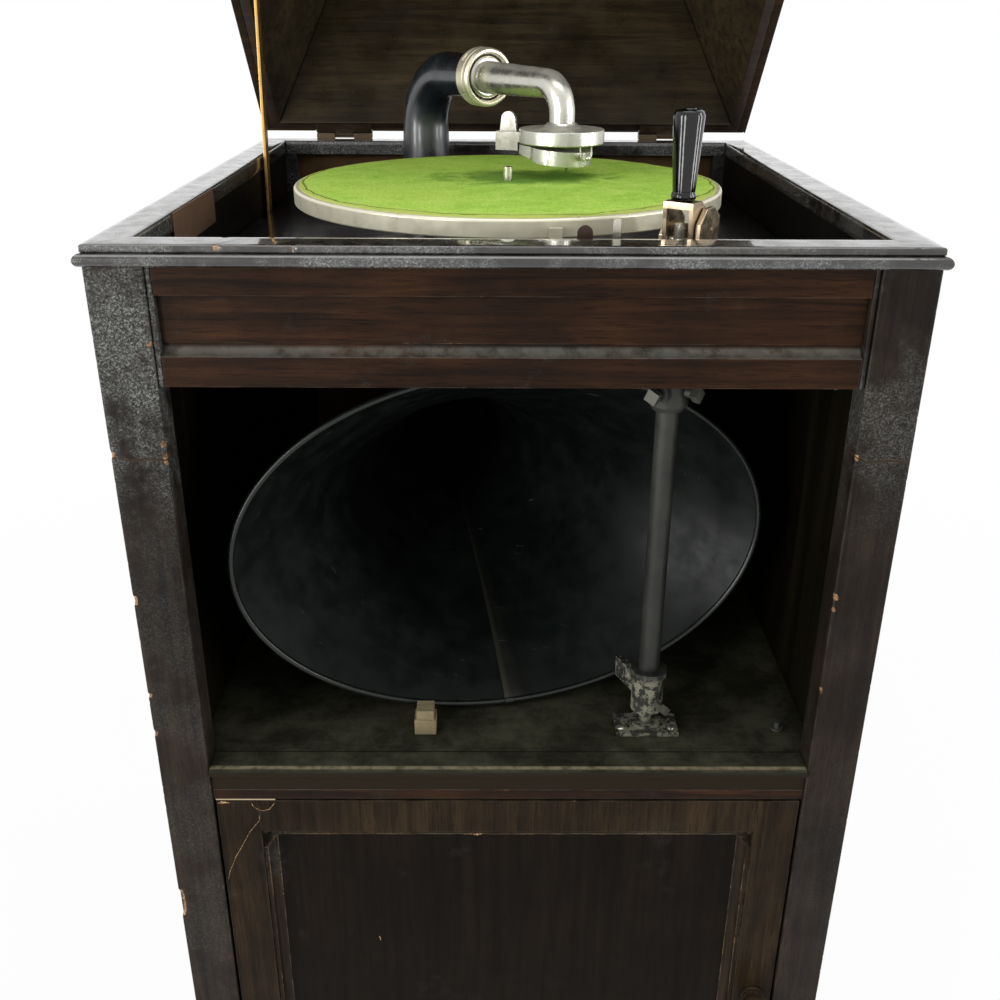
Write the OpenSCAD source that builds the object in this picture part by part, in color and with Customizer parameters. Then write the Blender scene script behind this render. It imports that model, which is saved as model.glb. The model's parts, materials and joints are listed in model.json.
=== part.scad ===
// Floor-standing gramophone cabinet with an inside horn, lid open.
// Origin: centre of the cabinet's footprint on the floor. +X is the viewer's right, +Y the back,
// +Z up. Depths are measured back from the front of the posts, drops down from the top of the frame.

/* [Cabinet] */
// Width over the posts
body_w = 468; // [460:1:500]
// Depth from the front posts to the rear posts
body_d = 522; // [515:1:560]
// Height of the top of the frame, without the lid
top_z = 950; // [900:1:1000]
// Width of each post, seen from the front
post_w = 33; // [30:1:36]
// Depth of each post
post_d = 22; // [18:1:22]
// Thickness of the side panels
side_t = 12; // [8:1:14]
// Gap between the well's inner faces and the frame's inner edge
side_gap = 1; // [0.5:0.5:2]
// Thickness of the back panel
back_t = 8; // [5:1:10]
// Width of the top frame's rails
frame_w = 23; // [23:1:24]
// Thickness of the top frame
frame_t = 12; // [11:1:14]
// Radius of the rounded nose under the frame's edge
nose_r = 3.7; // [2.5:0.1:4.5]
// Open joint line at each mitre
mitre_gap = 0.3; // [0.2:0.1:0.8]
// Height of the apron's top rail
apron_top_h = 16; // [12:1:18]
// Height of the apron's recessed panel
apron_panel_h = 28; // [22:1:30]
// Height of the hollow moulding below the recessed panel
cove_h = 7.5; // [5:0.5:9]
// Height of the apron's bottom rail
apron_bottom_h = 17; // [14:1:18]
// How far the recessed panel lies behind the rails
apron_recess = 5; // [3:0.5:7]
// Width of the bead strip beside each post
bead_w = 3.5; // [2.5:0.5:5]
// Drop from the top of the frame to the horn bay's floor
bay_drop = 349; // [345:1:370]
// Thickness of the horn bay's floor
bay_floor_t = 18; // [16:1:22]
// Height of the floor's rounded front lip
lip_h = 6; // [4:1:8]
// Height of the front rail under the bay's floor
shelf_rail_h = 20; // [14:1:26]
// Height of the underside of the bottom rail
plinth_z = 45; // [30:1:60]
// Height of the bottom rail
plinth_h = 40; // [30:1:60]
// Thickness of the bottom board
base_t = 15; // [10:1:20]
// Height of a floor glide
glide_h = 6; // [4:1:10]
// Diameter of a floor glide
glide_dia = 20; // [14:1:21]
// Height of the side rails, flush with the posts
side_rail_h = 40; // [30:1:60]

/* [Door] */
// Gap round the door
door_gap = 1.5; // [1:0.25:2.5]
// Thickness of the door's frame
door_t = 18; // [16:1:20]
// Width of the door's stiles
stile_w = 29; // [25:1:40]
// Width of the door's top rail
door_top_w = 27; // [22:1:40]
// Width of the door's bottom rail
door_bottom_w = 40; // [30:1:55]
// Width of the moulding round the door's panel
panel_mould_w = 9; // [6:1:12]
// Thickness of the door's panel
door_panel_t = 6; // [4:1:8]
// Diameter of the door's knob
knob_dia = 24; // [18:1:30]

/* [Lid] */
// How far the lid stands open, in degrees
lid_open = 49; // [30:1:60]
// Width of the lid's rim at the sides
rim_side_w = 16; // [14:1:20]
// Width of the lid's rim at the front and back
rim_end_w = 12; // [11:1:13]
// Height of the lid's upright rim
rim_h = 22; // [16:1:30]
// Steepness of the lid's slopes, in degrees
lid_slope = 69; // [68:1:74]
// Thickness of the sloped boards, measured level
slope_t = 8.5; // [7:0.5:9]
// Height inside the closed lid
lid_h = 124; // [115:1:140]
// Thickness of the lid's top board
lid_top_t = 11; // [8:1:15]
// Gap under the closed lid
lid_gap = 0.5; // [0.3:0.1:1]
// How far the lid's hinge pin lies behind the cabinet
hinge_back = 6; // [5:0.5:8]
// How far the lid's hinge pin lies above the frame
hinge_up = 3.6; // [3.4:0.1:4.5]
// Length of one lid hinge
lid_hinge_len = 54; // [40:1:70]
// Distance of each lid hinge's middle from the cabinet's middle
lid_hinge_x = 157; // [120:1:180]
// Length of the lid stay's strip
stay_len = 233; // [230:1:238]
// Width of the lid stay's strip
stay_w = 12; // [9:1:14]
// Thickness of the lid stay's strip
stay_t = 2.5; // [2:0.5:3]
// Distance of the stay's pivot from the lid's hinge, along the rim
stay_arm = 188; // [185:1:190]

/* [Turntable] */
// Radius of the turntable
platter_r = 152.4; // [145:0.2:155]
// Radius of the felt
felt_r = 149.7; // [140:0.1:149.7]
// Height of the felt's top above the frame
felt_top = 4; // [2:0.5:4.5]
// Thickness of the felt
felt_t = 1.5; // [1:0.25:3]
// Height of the turntable's rim
platter_h = 12; // [9:0.5:14]
// Sideways place of the spindle
platter_x = -1; // [-4:0.5:4]
// Depth of the spindle behind the front
platter_depth = 220.5; // [217:0.5:230]
// Diameter of the spindle above the felt
spindle_dia = 7; // [6.5:0.1:7.4]
// Height of the spindle above the felt
spindle_up = 9; // [6:0.5:12]
// Drop from the frame's top to the bedplate
bed_drop = 46; // [44:1:48]
// Thickness of the bedplate
bed_t = 16; // [12:1:18]

/* [Horn] */
// Half width of the horn's mouth
mouth_a = 184; // [170:1:186]
// Half height of the horn's mouth
mouth_b = 126; // [115:1:127]
// Depth of the mouth's middle behind the front
mouth_depth = 74; // [70:1:80]
// Drop of the mouth's middle below the frame's top
mouth_drop = 219; // [217:1:222]
// Sideways place of the mouth's middle
mouth_x = -1.5; // [-5:0.5:3]
// How far the horn is turned to the right at rest, in degrees
horn_yaw = 11.5; // [9:0.5:13]
// Wall of the horn
horn_t = 1.6; // [1.2:0.1:2.5]
// Thickness of the rolled edge round the mouth
rim_dia = 4.5; // [3.5:0.5:6]
// Length of the horn's straight stretch
horn_run = 229; // [225:1:235]
// Radius of the horn's upward bend
horn_bend = 118; // [110:1:120]
// Outer radius of the horn where its neck starts
throat_r = 24; // [22:1:26]
// How quickly the bell narrows
flare = 2.4; // [2.2:0.1:3]
// Radius of the neck at its outlet
outlet_r = 15.5; // [14:0.5:16]
// Height of the neck's outlet above the frame
outlet_up = 67; // [64:1:69]
// Radius of the neck's bend
neck_bend = 45; // [40:1:48]

/* [Carriage] */
// Sideways place of the upright pipe
pipe_x = 98; // [96:0.5:100]
// Depth of the pipe behind the front
pipe_depth = 52; // [50:0.5:54]
// Outer diameter of the pipe
pipe_dia = 14.5; // [14:0.1:16]
// Outer diameter of the clamps on the pipe
clamp_dia = 25; // [23:0.5:28]
// Diameter of the pivot rod inside the pipe
rod_dia = 9; // [8:0.1:9.5]
// Radial running clearance of every pin and shaft
fit = 0.06; // [0.03:0.01:0.1]

/* [Sound box] */
// Sideways place of the sound box
box_x = 38; // [36:0.5:40]
// Depth of the sound box behind the front
box_depth = 238; // [234:0.5:242]
// Radius of the sound box
box_r = 31; // [28:0.5:33]
// Height of the sound box's top above the frame
box_up = 37.5; // [36:0.5:38]
// Thickness of the sound box
box_t = 10; // [8:0.5:11]
// Radius of the arm at the collar
arm_r = 12.5; // [11:0.5:13]
// Radius of the arm above the sound box
arm_end_r = 9.3; // [8:0.1:10]
// Radius of the arm's bend
arm_bend = 20; // [18:1:22]
// Outer radius of the collar
collar_r = 22; // [20:0.5:23]
// Width of the collar
collar_w = 18; // [14:1:20]
// Distance of the collar's middle from the neck, towards the sound box
collar_at = 98; // [92:1:102]
// Radius of the weight under the sound box
weight_r = 23; // [20:0.5:24]
// Thickness of the weight
weight_t = 10; // [8:0.5:11]
// How far the weight hangs down from the sound box, in degrees
weight_hang = 3.5; // [3:0.1:3.5]

/* [Lift lever] */
// Length of the black handle
handle_len = 50; // [42:1:50]
// Largest radius of the handle
handle_r = 9; // [7:0.5:9]
// How far the lever's pin lies behind the pipe
lever_back = 14; // [13:0.5:16]
// How far the lever is turned about the pipe, its front to the left, in degrees
lever_turn = 35; // [30:1:38]

/* [Motor] */
// Tooth size of the gears
gear_module = 1.25; // [1.2:0.01:1.3]
// Teeth on the small gears
pinion_teeth = 14; // [14:1:14]
// Teeth on the idler gear
idler_teeth = 56; // [56:1:56]
// Teeth on the spring barrel's gear
barrel_teeth = 70; // [70:1:70]
// Teeth on the wheels that the worms turn
wheel_teeth = 24; // [24:1:24]
// Radius of the spring barrel
barrel_r = 38; // [30:1:40]

/* [Hidden] */
$fn = 48;
eps = 0.02;

wood = [0.24, 0.13, 0.09];
dark_wood = [0.12, 0.10, 0.09];
black = [0.06, 0.06, 0.07];
nickel = [0.72, 0.68, 0.62];
bronze = [0.36, 0.28, 0.2];
felt_green = [0.5, 0.66, 0.22];

// Depth behind the front posts, and height from the frame's top, as coordinates
function y_at(depth) = depth - body_d / 2;
function z_at(up) = top_z + up;

// Cabinet
half_w = body_w / 2;
post_in = half_w - post_w;
well_x = half_w - frame_w;
side_in = well_x + side_gap;
bed_front = frame_w;
bed_back = body_d - post_d - 0.5;
bed_z = z_at(-bed_drop);
bed_under = bed_z - bed_t;
apron_panel_z = -frame_t - apron_top_h;
cove_z = apron_panel_z - apron_panel_h;
apron_low_z = cove_z - cove_h;
bay_top_z = apron_low_z - apron_bottom_h;
bay_z = z_at(-bay_drop);
shelf_rail_z = bay_z - lip_h - shelf_rail_h;
door_top_z = shelf_rail_z - door_gap;
door_bottom_z = plinth_z + plinth_h + door_gap;
glide_z = glide_h;

// Gears: a tip and a root that stay clear of the mating wheel
function pitch_r(teeth) = gear_module * teeth / 2;
addendum = 0.8 * gear_module;
dedendum = 1.15 * gear_module;
worm_r = 4;
worm_gap = 0.35;

// Motor layout, in depths and in heights below the bedplate
spin_x = platter_x;
spin_y = y_at(platter_depth);
idler_angle = 60;
idler_off = pitch_r(pinion_teeth) + pitch_r(idler_teeth);
idler_x = spin_x + idler_off * cos(idler_angle);
idler_y = spin_y + idler_off * sin(idler_angle);
barrel_angle = 7;
barrel_off = pitch_r(pinion_teeth) + pitch_r(barrel_teeth);
barrel_x = idler_x + barrel_off * cos(barrel_angle);
barrel_y = idler_y + barrel_off * sin(barrel_angle);
plate_t = 3;
motor_top_z = bed_under - plate_t;
motor_low_z = bed_under - 53;
gear_t = 4;
first_gear_z = motor_top_z - 3 - gear_t;
second_gear_z = first_gear_z - 3 - gear_t;
barrel_h = 22;
barrel_z = second_gear_z - barrel_h;
worm_wheel_z = motor_low_z + plate_t + 2;
worm_z = worm_wheel_z + 3;
wheel_tip = pitch_r(wheel_teeth) + addendum;
worm_off = wheel_tip + worm_r + worm_gap;
wind_y = barrel_y + worm_off;
gov_x = spin_x - worm_off;
gov_wheel_z = bed_under - 34;
gov_z = gov_wheel_z + 3;
plate_x0 = gov_x - 26;
plate_x1 = barrel_x + pitch_r(barrel_teeth) + 8;
plate_y0 = spin_y - 20;
plate_y1 = barrel_y + pitch_r(barrel_teeth) + 8;
pillar_r = 4;
shaft_r = 3;
gov_front = spin_y - 13;
gov_back = spin_y + 76;

// Carriage
pipe_y = y_at(pipe_depth);
mouth_y = y_at(mouth_depth);
mouth_z = z_at(-mouth_drop);
horn_back = [-sin(horn_yaw), cos(horn_yaw), 0];
horn_side = [cos(horn_yaw), sin(horn_yaw), 0];
up = [0, 0, 1];
horn_end = horn_run + horn_bend * PI / 2;
neck_base = [mouth_x, mouth_y, mouth_z] + (horn_run + horn_bend) * horn_back + horn_bend * up;
neck_x = neck_base.x;
neck_y = neck_base.y;
box_y = y_at(box_depth);
to_box = [box_x - neck_x, box_y - neck_y, 0];
box_way = to_box / norm(to_box);
box_side = cross(box_way, up);
neck_to_box = norm(to_box);
neck_reach = sqrt(pow(neck_x - pipe_x, 2) + pow(neck_y - pipe_y, 2));
neck_turn = atan2(neck_x - pipe_x, neck_y - pipe_y);
swing_out = 33;
swing_in = 2;
slot_w = 2 * throat_r + 8;
lift_up = 11.4;
clamp_top = bay_top_z - 2;
clamp_top_h = 28;
clamp_low_h = 33;
clamp_low_z = 15;
flange_t = 3;
boss_h = 5;

// Sound box and weight
weight_turn = -18;
weight_hinge = 45.5;
weight_gap = 0.8;
weight_pin_z = -12;
weight_low = -box_t - weight_gap - weight_t;
hinge_pin_r = 1.2;
lug_w = 13;
lug_h = 9;
loop_turn = -35;
loop_out = weight_r + 4;

// Lift lever
lever_z = z_at(-1);
lever_y = pipe_y + lever_back;
cross_pin_z = z_at(-6);
yoke_top = z_at(16);
yoke_in = 7;
yoke_t = 2.5;
cheek_x0 = yoke_in + yoke_t + 0.6;
cheek_t = 3;

// Lid
hinge_y = body_d / 2 + hinge_back;
hinge_z = z_at(hinge_up);
lid_z = z_at(lid_gap);
lid_in_x = half_w - rim_side_w;
lid_in_y = body_d / 2 - rim_end_w;
slope_run = 1 / tan(lid_slope);
knuckle_r = 3.5;
pin_r = 1.5;
leaf_t = 2;
stay_x = -(well_x - 3);
stay_up = 10;
stay_lean = 5.9;
keeper_drop = 70;

// A box between two corners
module block(low, high) {
    translate(low) cube(high - low);
}

// A ring of points round an ellipse
function ring(middle, side, top, a, b, sides) =
    [for (i = [0 : sides - 1]) middle + a * cos(360 * i / sides) * side
        + b * sin(360 * i / sides) * top];

function flat(rings) = [for (r = rings) each r];

// A solid through a row of rings, closed by flat ends
module loft(rings) {
    n = len(rings);
    m = len(rings[0]);
    walls = [for (i = [0 : n - 2]) for (j = [0 : m - 1]) let (k = (j + 1) % m)
        each [[i * m + j, (i + 1) * m + j, (i + 1) * m + k], [i * m + j, (i + 1) * m + k, i * m + k]]];
    first = [for (j = [0 : m - 1]) j];
    last = [for (j = [m - 1 : -1 : 0]) (n - 1) * m + j];
    polyhedron(flat(rings), concat(walls, [first, last]), convexity = 6);
}

// A wall between an outer and an inner row of rings
module loft_shell(outer, inner) {
    n = len(outer);
    m = len(outer[0]);
    o = n * m;
    walls = [for (i = [0 : n - 2]) for (j = [0 : m - 1]) let (k = (j + 1) % m, a = i * m, b = a + m)
        each [[a + j, b + j, b + k], [a + j, b + k, a + k],
            [o + a + j, o + b + k, o + b + j], [o + a + j, o + a + k, o + b + k]]];
    first = [for (j = [0 : m - 1]) let (k = (j + 1) % m)
        each [[j, k, o + k], [j, o + k, o + j]]];
    e = (n - 1) * m;
    last = [for (j = [0 : m - 1]) let (k = (j + 1) % m)
        each [[e + j, o + e + k, e + k], [e + j, o + e + j, o + e + k]]];
    polyhedron(concat(flat(outer), flat(inner)), concat(walls, first, last), convexity = 10);
}

// ---------------------------------------------------------------- cabinet

module corner_posts() {
    color(dark_wood) for (side = [-1, 1]) for (y = [y_at(0), y_at(body_d - post_d)])
        block([min(side * half_w, side * post_in), y, glide_z],
            [max(side * half_w, side * post_in), y + post_d, z_at(-frame_t)]);
}

module side_panels() {
    color(wood) {
        block([-side_in - side_t, y_at(post_d), plinth_z],
            [-side_in, y_at(body_d - post_d), z_at(-frame_t)]);
        difference() {
            block([side_in, y_at(post_d), plinth_z],
                [side_in + side_t, y_at(body_d - post_d), z_at(-frame_t)]);
            translate([side_in - 1, wind_y, worm_z]) rotate([0, 90, 0])
                cylinder(r = crank_hole_r, h = side_t + 2);
        }
    }
}
crank_hole_r = 9;

module side_rails() {
    color(dark_wood) for (s = [-1, 1]) for (z = [plinth_z, z_at(-frame_t) - side_rail_h])
        block([s > 0 ? side_in + side_t : -half_w, y_at(post_d), z],
            [s > 0 ? half_w : -side_in - side_t, y_at(body_d - post_d), z + side_rail_h]);
}

module back_panel() {
    color(wood) block([-post_in, y_at(body_d - back_t - 2), plinth_z],
        [post_in, y_at(body_d - 2), z_at(-frame_t)]);
}

module base_board() {
    color(wood) block([-side_in, y_at(post_d), plinth_z + plinth_h - base_t],
        [side_in, y_at(body_d - post_d), plinth_z + plinth_h]);
}

module front_rails() {
    color(wood) {
        block([-post_in, y_at(1.5), plinth_z], [post_in, y_at(post_d), plinth_z + plinth_h]);
        block([-post_in, y_at(2), shelf_rail_z], [post_in, y_at(post_d), bay_z - bay_floor_t]);
    }
}

module floor_glides() {
    color(nickel) for (x = [-1, 1]) for (y = [-1, 1])
        translate([x * (half_w - post_w / 2), y * (body_d / 2 - post_d / 2), 0]) rotate_extrude()
            polygon([[0, 0], [glide_dia / 2 - 2.5, 0], [glide_dia / 2, 2.5],
                [glide_dia / 2, glide_h], [0, glide_h]]);
}

// Section of the top frame: inner edge at 0, rounded nose below the outer edge
module frame_section(nose) {
    translate([0, -frame_t]) square([frame_w - 1, frame_t]);
    translate([0, -4]) square([frame_w, 4]);
    translate([0, -frame_t]) square([frame_w, frame_t - 4.6]);
    if (nose) translate([frame_w, nose_r - frame_t]) circle(r = nose_r);
}

module mitre_wedge(corners) {
    translate([0, 0, z_at(-frame_t - 1)]) linear_extrude(frame_t + 2) polygon(corners);
}

module top_frame() {
    out_x = half_w + nose_r + 1;
    out_y = body_d / 2 + nose_r + 1;
    in_x = well_x;
    in_y = body_d / 2 - frame_w;
    g = mitre_gap / sqrt(2);
    reach = nose_r + 1;
    color(dark_wood) {
        intersection() {
            translate([-out_x, -in_y, z_at(0)]) rotate([90, 0, 90]) linear_extrude(2 * out_x)
                mirror([1, 0]) frame_section(true);
            mitre_wedge([[-out_x + g, -out_y], [out_x - g, -out_y], [in_x - g, -in_y], [-in_x + g, -in_y]]);
        }
        intersection() {
            translate([-out_x, in_y, z_at(0)]) rotate([90, 0, 90]) linear_extrude(2 * out_x)
                frame_section(false);
            mitre_wedge([[-out_x + g, out_y], [out_x - g, out_y], [in_x - g, in_y], [-in_x + g, in_y]]);
        }
        for (s = [0, 1]) mirror([s, 0, 0]) intersection() {
            translate([in_x, body_d / 2, z_at(0)]) rotate([90, 0, 0]) linear_extrude(body_d + 2 * reach)
                frame_section(true);
            mitre_wedge([[out_x, -out_y + g], [out_x, out_y - g], [in_x, in_y - g], [in_x, -in_y + g]]);
        }
    }
}

apron_x = post_in - bead_w - 0.1;
module apron_rails() {
    color(wood) {
        block([-apron_x, y_at(1.5), z_at(apron_panel_z)], [apron_x, y_at(post_d - 2), z_at(-frame_t)]);
        difference() {
            block([-apron_x, y_at(1.5), z_at(bay_top_z)], [apron_x, y_at(post_d - 2), z_at(cove_z)]);
            translate([-apron_x - 1, y_at(1.5), z_at(cove_z)]) rotate([0, 90, 0])
                cylinder(r = min(cove_h, apron_recess + 1.5), h = 2 * apron_x + 2);
        }
    }
}

module apron_panel() {
    color(wood) block([-apron_x, y_at(1.5 + apron_recess), z_at(cove_z)],
        [apron_x, y_at(post_d - 4), z_at(apron_panel_z)]);
}

module post_beads() {
    color(wood) for (s = [-1, 1]) {
        translate([s * (post_in - bead_w / 2), y_at(1.2 + bead_w / 2), z_at(bay_top_z)])
            cylinder(d = bead_w - 0.1, h = -frame_t - bay_top_z);
        block([s * (post_in - bead_w / 2) - bead_w / 2 + 0.05, y_at(1.2 + bead_w / 2), z_at(bay_top_z)],
            [s * (post_in - bead_w / 2) + bead_w / 2 - 0.05, y_at(10), z_at(-frame_t)]);
    }
}

// Curved slot that the neck swings through
module swing_slot(z, h) {
    translate([pipe_x, pipe_y, z]) {
        rotate([0, 0, 90 - neck_turn - swing_out - 1])
            rotate_extrude(angle = swing_out + swing_in + 2, $fn = 96)
                translate([neck_reach - slot_w / 2, 0]) square([slot_w, h]);
        for (a = [-swing_out - 1, swing_in + 1]) rotate([0, 0, 90 - neck_turn + a])
            translate([neck_reach, 0, 0]) cylinder(d = slot_w, h = h);
    }
}

module bedplate() {
    stay_y = stay_at(bed_z);
    color(black) difference() {
        block([-well_x + 0.5, y_at(bed_front), bed_under], [well_x - 0.5, y_at(bed_back), bed_z]);
        swing_slot(bed_under - 1, bed_t + 2);
        translate([spin_x, spin_y, bed_under - 1]) cylinder(r = 10, h = bed_t + 2);
        translate([pipe_x, pipe_y, bed_under - 1]) cylinder(r = rod_dia / 2 + 2, h = bed_t + 2);
        block([-well_x - 1, stay_y - 40, bed_under - 1], [-well_x + 6, stay_y + 40, bed_z + 1]);
    }
}

module bedplate_cleats() {
    color(wood) {
        block([-side_in, y_at(bed_front + 4), bed_under - 14],
            [-side_in + 14, stay_at(bed_under) - 50, bed_under]);
        block([side_in - 14, y_at(bed_front + 4), bed_under - 14],
            [side_in, y_at(bed_back - 10), bed_under]);
    }
}

module horn_bay_floor() {
    color(dark_wood) difference() {
        union() {
            block([-side_in, y_at(post_d), bay_z - bay_floor_t], [side_in, y_at(body_d - post_d), bay_z]);
            block([-post_in, y_at(1), bay_z - bay_floor_t], [post_in, y_at(post_d), bay_z]);
            translate([-post_in, y_at(1), bay_z - lip_h / 2]) rotate([0, 90, 0])
                cylinder(d = lip_h, h = 2 * post_in);
        }
        block([-post_in - 1, y_at(-9), bay_z - bay_floor_t - 1], [post_in + 1, y_at(2), bay_z - lip_h]);
        translate([pipe_x, pipe_y, bay_z - clamp_low_z]) cylinder(r = rod_dia / 2 + 1, h = bay_floor_t);
    }
}

module grille_clips() {
    stud = [post_in - 10, y_at(post_d + 24), bay_z];
    color(bronze) {
        block([post_in - 10, y_at(post_d + 2), z_at(bay_top_z - 8)],
            [post_in - 8, y_at(post_d + 18), z_at(bay_top_z + 12)]);
        block([post_in - 10, y_at(post_d - 2), z_at(bay_top_z)],
            [post_in - 0.5, y_at(post_d + 2), z_at(bay_top_z + 12)]);
        translate(stud) cylinder(d = 9, h = 2);
        translate(stud) cylinder(d = 4, h = 6);
    }
}

module horn_rest_block() {
    color([0.5, 0.4, 0.3]) translate([-58, y_at(46), bay_z]) {
        block([-7.5, -7, 0], [7.5, 7, 12]);
        block([-6, -6, 12], [6, 7, 19]);
    }
}

module pipe_flange() {
    color(black) translate([pipe_x, pipe_y, bay_z]) difference() {
        union() {
            block([-22, -15, 0], [22, 9, flange_t]);
            cylinder(r = 11, h = boss_h);
            for (x = [-17, 17]) translate([x, -9, flange_t]) cylinder(r = 3, h = 1.2);
        }
        translate([0, 0, -1]) cylinder(r = rod_dia / 2 + fit, h = boss_h + 2);
    }
}

module record_rack() {
    low = plinth_z + plinth_h;
    high = bay_z - bay_floor_t;
    middle = (low + high) / 2;
    color(wood) {
        block([-side_in, y_at(60), middle - 5], [side_in, y_at(body_d - post_d), middle + 5]);
        for (x = [-70, 70]) {
            block([x - 4, y_at(60), low], [x + 4, y_at(body_d - post_d - 1), middle - 5]);
            block([x - 4, y_at(60), middle + 5], [x + 4, y_at(body_d - post_d - 1), high]);
        }
    }
}

module wall_plate() {
    color(bronze) block([-well_x, y_at(100), z_at(-24)], [-well_x + 0.8, y_at(205), z_at(-0.5)]);
}

// ---------------------------------------------------------------- motor

module gear_outline(teeth) {
    r = pitch_r(teeth);
    pitch = 360 / teeth;
    polygon([for (i = [0 : teeth - 1]) for (p = [[-0.5, -1], [-0.30, -1], [-0.12, 1], [0.12, 1], [0.30, -1]])
        let (a = (i + p[0]) * pitch, q = p[1] < 0 ? r - dedendum : r + addendum)
            [q * cos(a), q * sin(a)]]);
}

// Worm along +Z, its thread drawn as rings
module worm(length) {
    pitch = 4;
    rotate_extrude(convexity = 6) polygon(concat([[0, 0]],
        [for (z = [0 : pitch : length - pitch]) each [[worm_r - 1.6, z], [worm_r, z + 1.2],
            [worm_r, z + 2], [worm_r - 1.6, z + 3.2]]],
        [[worm_r - 1.6, length], [0, length]]));
}

module motor_frame() {
    color(bronze) difference() {
        union() {
            block([plate_x0, plate_y0, motor_top_z], [plate_x1, plate_y1, bed_under]);
            block([plate_x0, plate_y0, motor_low_z], [plate_x1, plate_y1, motor_low_z + plate_t]);
            for (x = [plate_x0 + 7, plate_x1 - 7]) for (y = [plate_y0 + 7, plate_y1 - 7])
                translate([x, y, motor_low_z]) cylinder(r = pillar_r, h = bed_under - motor_low_z);
            for (y = [gov_front, gov_back])
                block([gov_x - 5, y, motor_low_z], [gov_x + 5, y + 4, gov_z + 5]);
            for (x = [barrel_x - 16, plate_x1 - 5])
                block([x, wind_y - 5, motor_low_z], [x + 4, wind_y + 5, worm_z + 5]);
        }
        for (p = [[spin_x, spin_y], [idler_x, idler_y], [barrel_x, barrel_y]])
            translate([p[0], p[1], motor_low_z - 1]) cylinder(r = shaft_r + fit, h = 80);
        translate([gov_x, gov_front - 1, gov_z]) rotate([-90, 0, 0])
            cylinder(r = 2 + fit, h = gov_back - gov_front + 9);
        translate([barrel_x - 20, wind_y, worm_z]) rotate([0, 90, 0])
            cylinder(r = shaft_r + fit, h = plate_x1 - barrel_x + 25);
    }
}

module crank_escutcheon() {
    color(nickel) translate([side_in + side_t, wind_y, worm_z]) rotate([0, 90, 0]) difference() {
        union() {
            cylinder(r = 16, h = 2.5);
            translate([0, 0, -side_t + 2]) cylinder(r = crank_hole_r - 0.2, h = side_t);
        }
        translate([0, 0, -side_t]) cylinder(r = 6 + fit, h = side_t + 5);
    }
}

module spindle() {
    color(nickel) translate([spin_x, spin_y, 0]) {
        translate([0, 0, motor_low_z + 1]) cylinder(r = shaft_r, h = z_at(-22) - motor_low_z - 1 + eps);
        translate([0, 0, z_at(-22)]) cylinder(d = spindle_dia, h = felt_top + spindle_up + 22);
        translate([0, 0, first_gear_z]) rotate([0, 0, idler_angle])
            linear_extrude(gear_t) gear_outline(pinion_teeth);
        translate([0, 0, gov_wheel_z]) linear_extrude(6) gear_outline(wheel_teeth);
    }
}

module idler_gear() {
    // A half tooth turn puts a gap of the idler against a tooth of each mating gear
    turn = idler_angle + 180 + 180 / idler_teeth;
    turn2 = barrel_angle;
    color([0.7, 0.58, 0.3]) translate([idler_x, idler_y, 0]) {
        translate([0, 0, motor_low_z + 1]) cylinder(r = shaft_r, h = bed_under - motor_low_z - 2);
        translate([0, 0, first_gear_z]) rotate([0, 0, turn]) linear_extrude(gear_t) gear_outline(idler_teeth);
        translate([0, 0, second_gear_z]) rotate([0, 0, turn2])
            linear_extrude(gear_t + 2) gear_outline(pinion_teeth);
    }
}

module spring_barrel() {
    turn = barrel_angle + 180 + 180 / barrel_teeth;
    color([0.7, 0.58, 0.3]) translate([barrel_x, barrel_y, 0]) {
        difference() {
            union() {
                translate([0, 0, second_gear_z]) rotate([0, 0, turn])
                    linear_extrude(gear_t) gear_outline(barrel_teeth);
                translate([0, 0, barrel_z]) cylinder(r = barrel_r, h = barrel_h + eps);
            }
            translate([0, 0, barrel_z + 2]) cylinder(r = barrel_r - 2, h = barrel_h - 4);
            translate([0, 0, barrel_z - 1]) cylinder(r = 5 + fit, h = barrel_h + gear_t + 4);
        }
        translate([0, 0, barrel_z + 3]) difference() {
            cylinder(r = barrel_r - 2.5, h = barrel_h - 6);
            translate([0, 0, -1]) cylinder(r = 12, h = barrel_h);
        }
    }
}

module barrel_arbor() {
    color(nickel) translate([barrel_x, barrel_y, 0]) {
        translate([0, 0, motor_low_z + 1]) cylinder(r = shaft_r, h = bed_under - motor_low_z - 2);
        translate([0, 0, barrel_z - 3]) cylinder(r = 5, h = barrel_h + gear_t + 5);
        translate([0, 0, worm_wheel_z]) linear_extrude(6) gear_outline(wheel_teeth);
    }
}

module winding_shaft() {
    end_x = side_in + side_t + 1;
    color(nickel) translate([0, wind_y, worm_z]) rotate([0, 90, 0]) {
        translate([0, 0, barrel_x - 15]) cylinder(r = shaft_r, h = end_x - barrel_x - 15);
        translate([0, 0, barrel_x - 8]) worm(16);
        difference() {
            translate([0, 0, end_x - 35]) cylinder(r = 6, h = 35);
            translate([0, 0, end_x - 14]) cylinder(r = 3.5, h = 15);
        }
    }
}

module governor() {
    ball_y = 48;
    color([0.7, 0.58, 0.3]) translate([gov_x, gov_front + 1, gov_z]) rotate([-90, 0, 0]) {
        cylinder(r = 2, h = gov_back - gov_front + 2);
        translate([0, 0, 5]) worm(16);
        translate([0, 0, 28]) cylinder(r = 5, h = 6);
        translate([0, 0, 62]) cylinder(r = 12, h = 2);
        translate([0, 0, 60]) cylinder(r = 5, h = 5);
        for (i = [0 : 2]) rotate([0, 0, 120 * i]) {
            translate([11, 0, ball_y]) sphere(r = 4.5);
            translate([3, -1.5, 32]) cube([9, 3, 1]);
            translate([3, -1.5, 62]) cube([9, 3, 1]);
            translate([10.5, -1.5, 32]) cube([1, 3, 31]);
        }
    }
}

// ---------------------------------------------------------------- turntable and its levers

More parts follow.
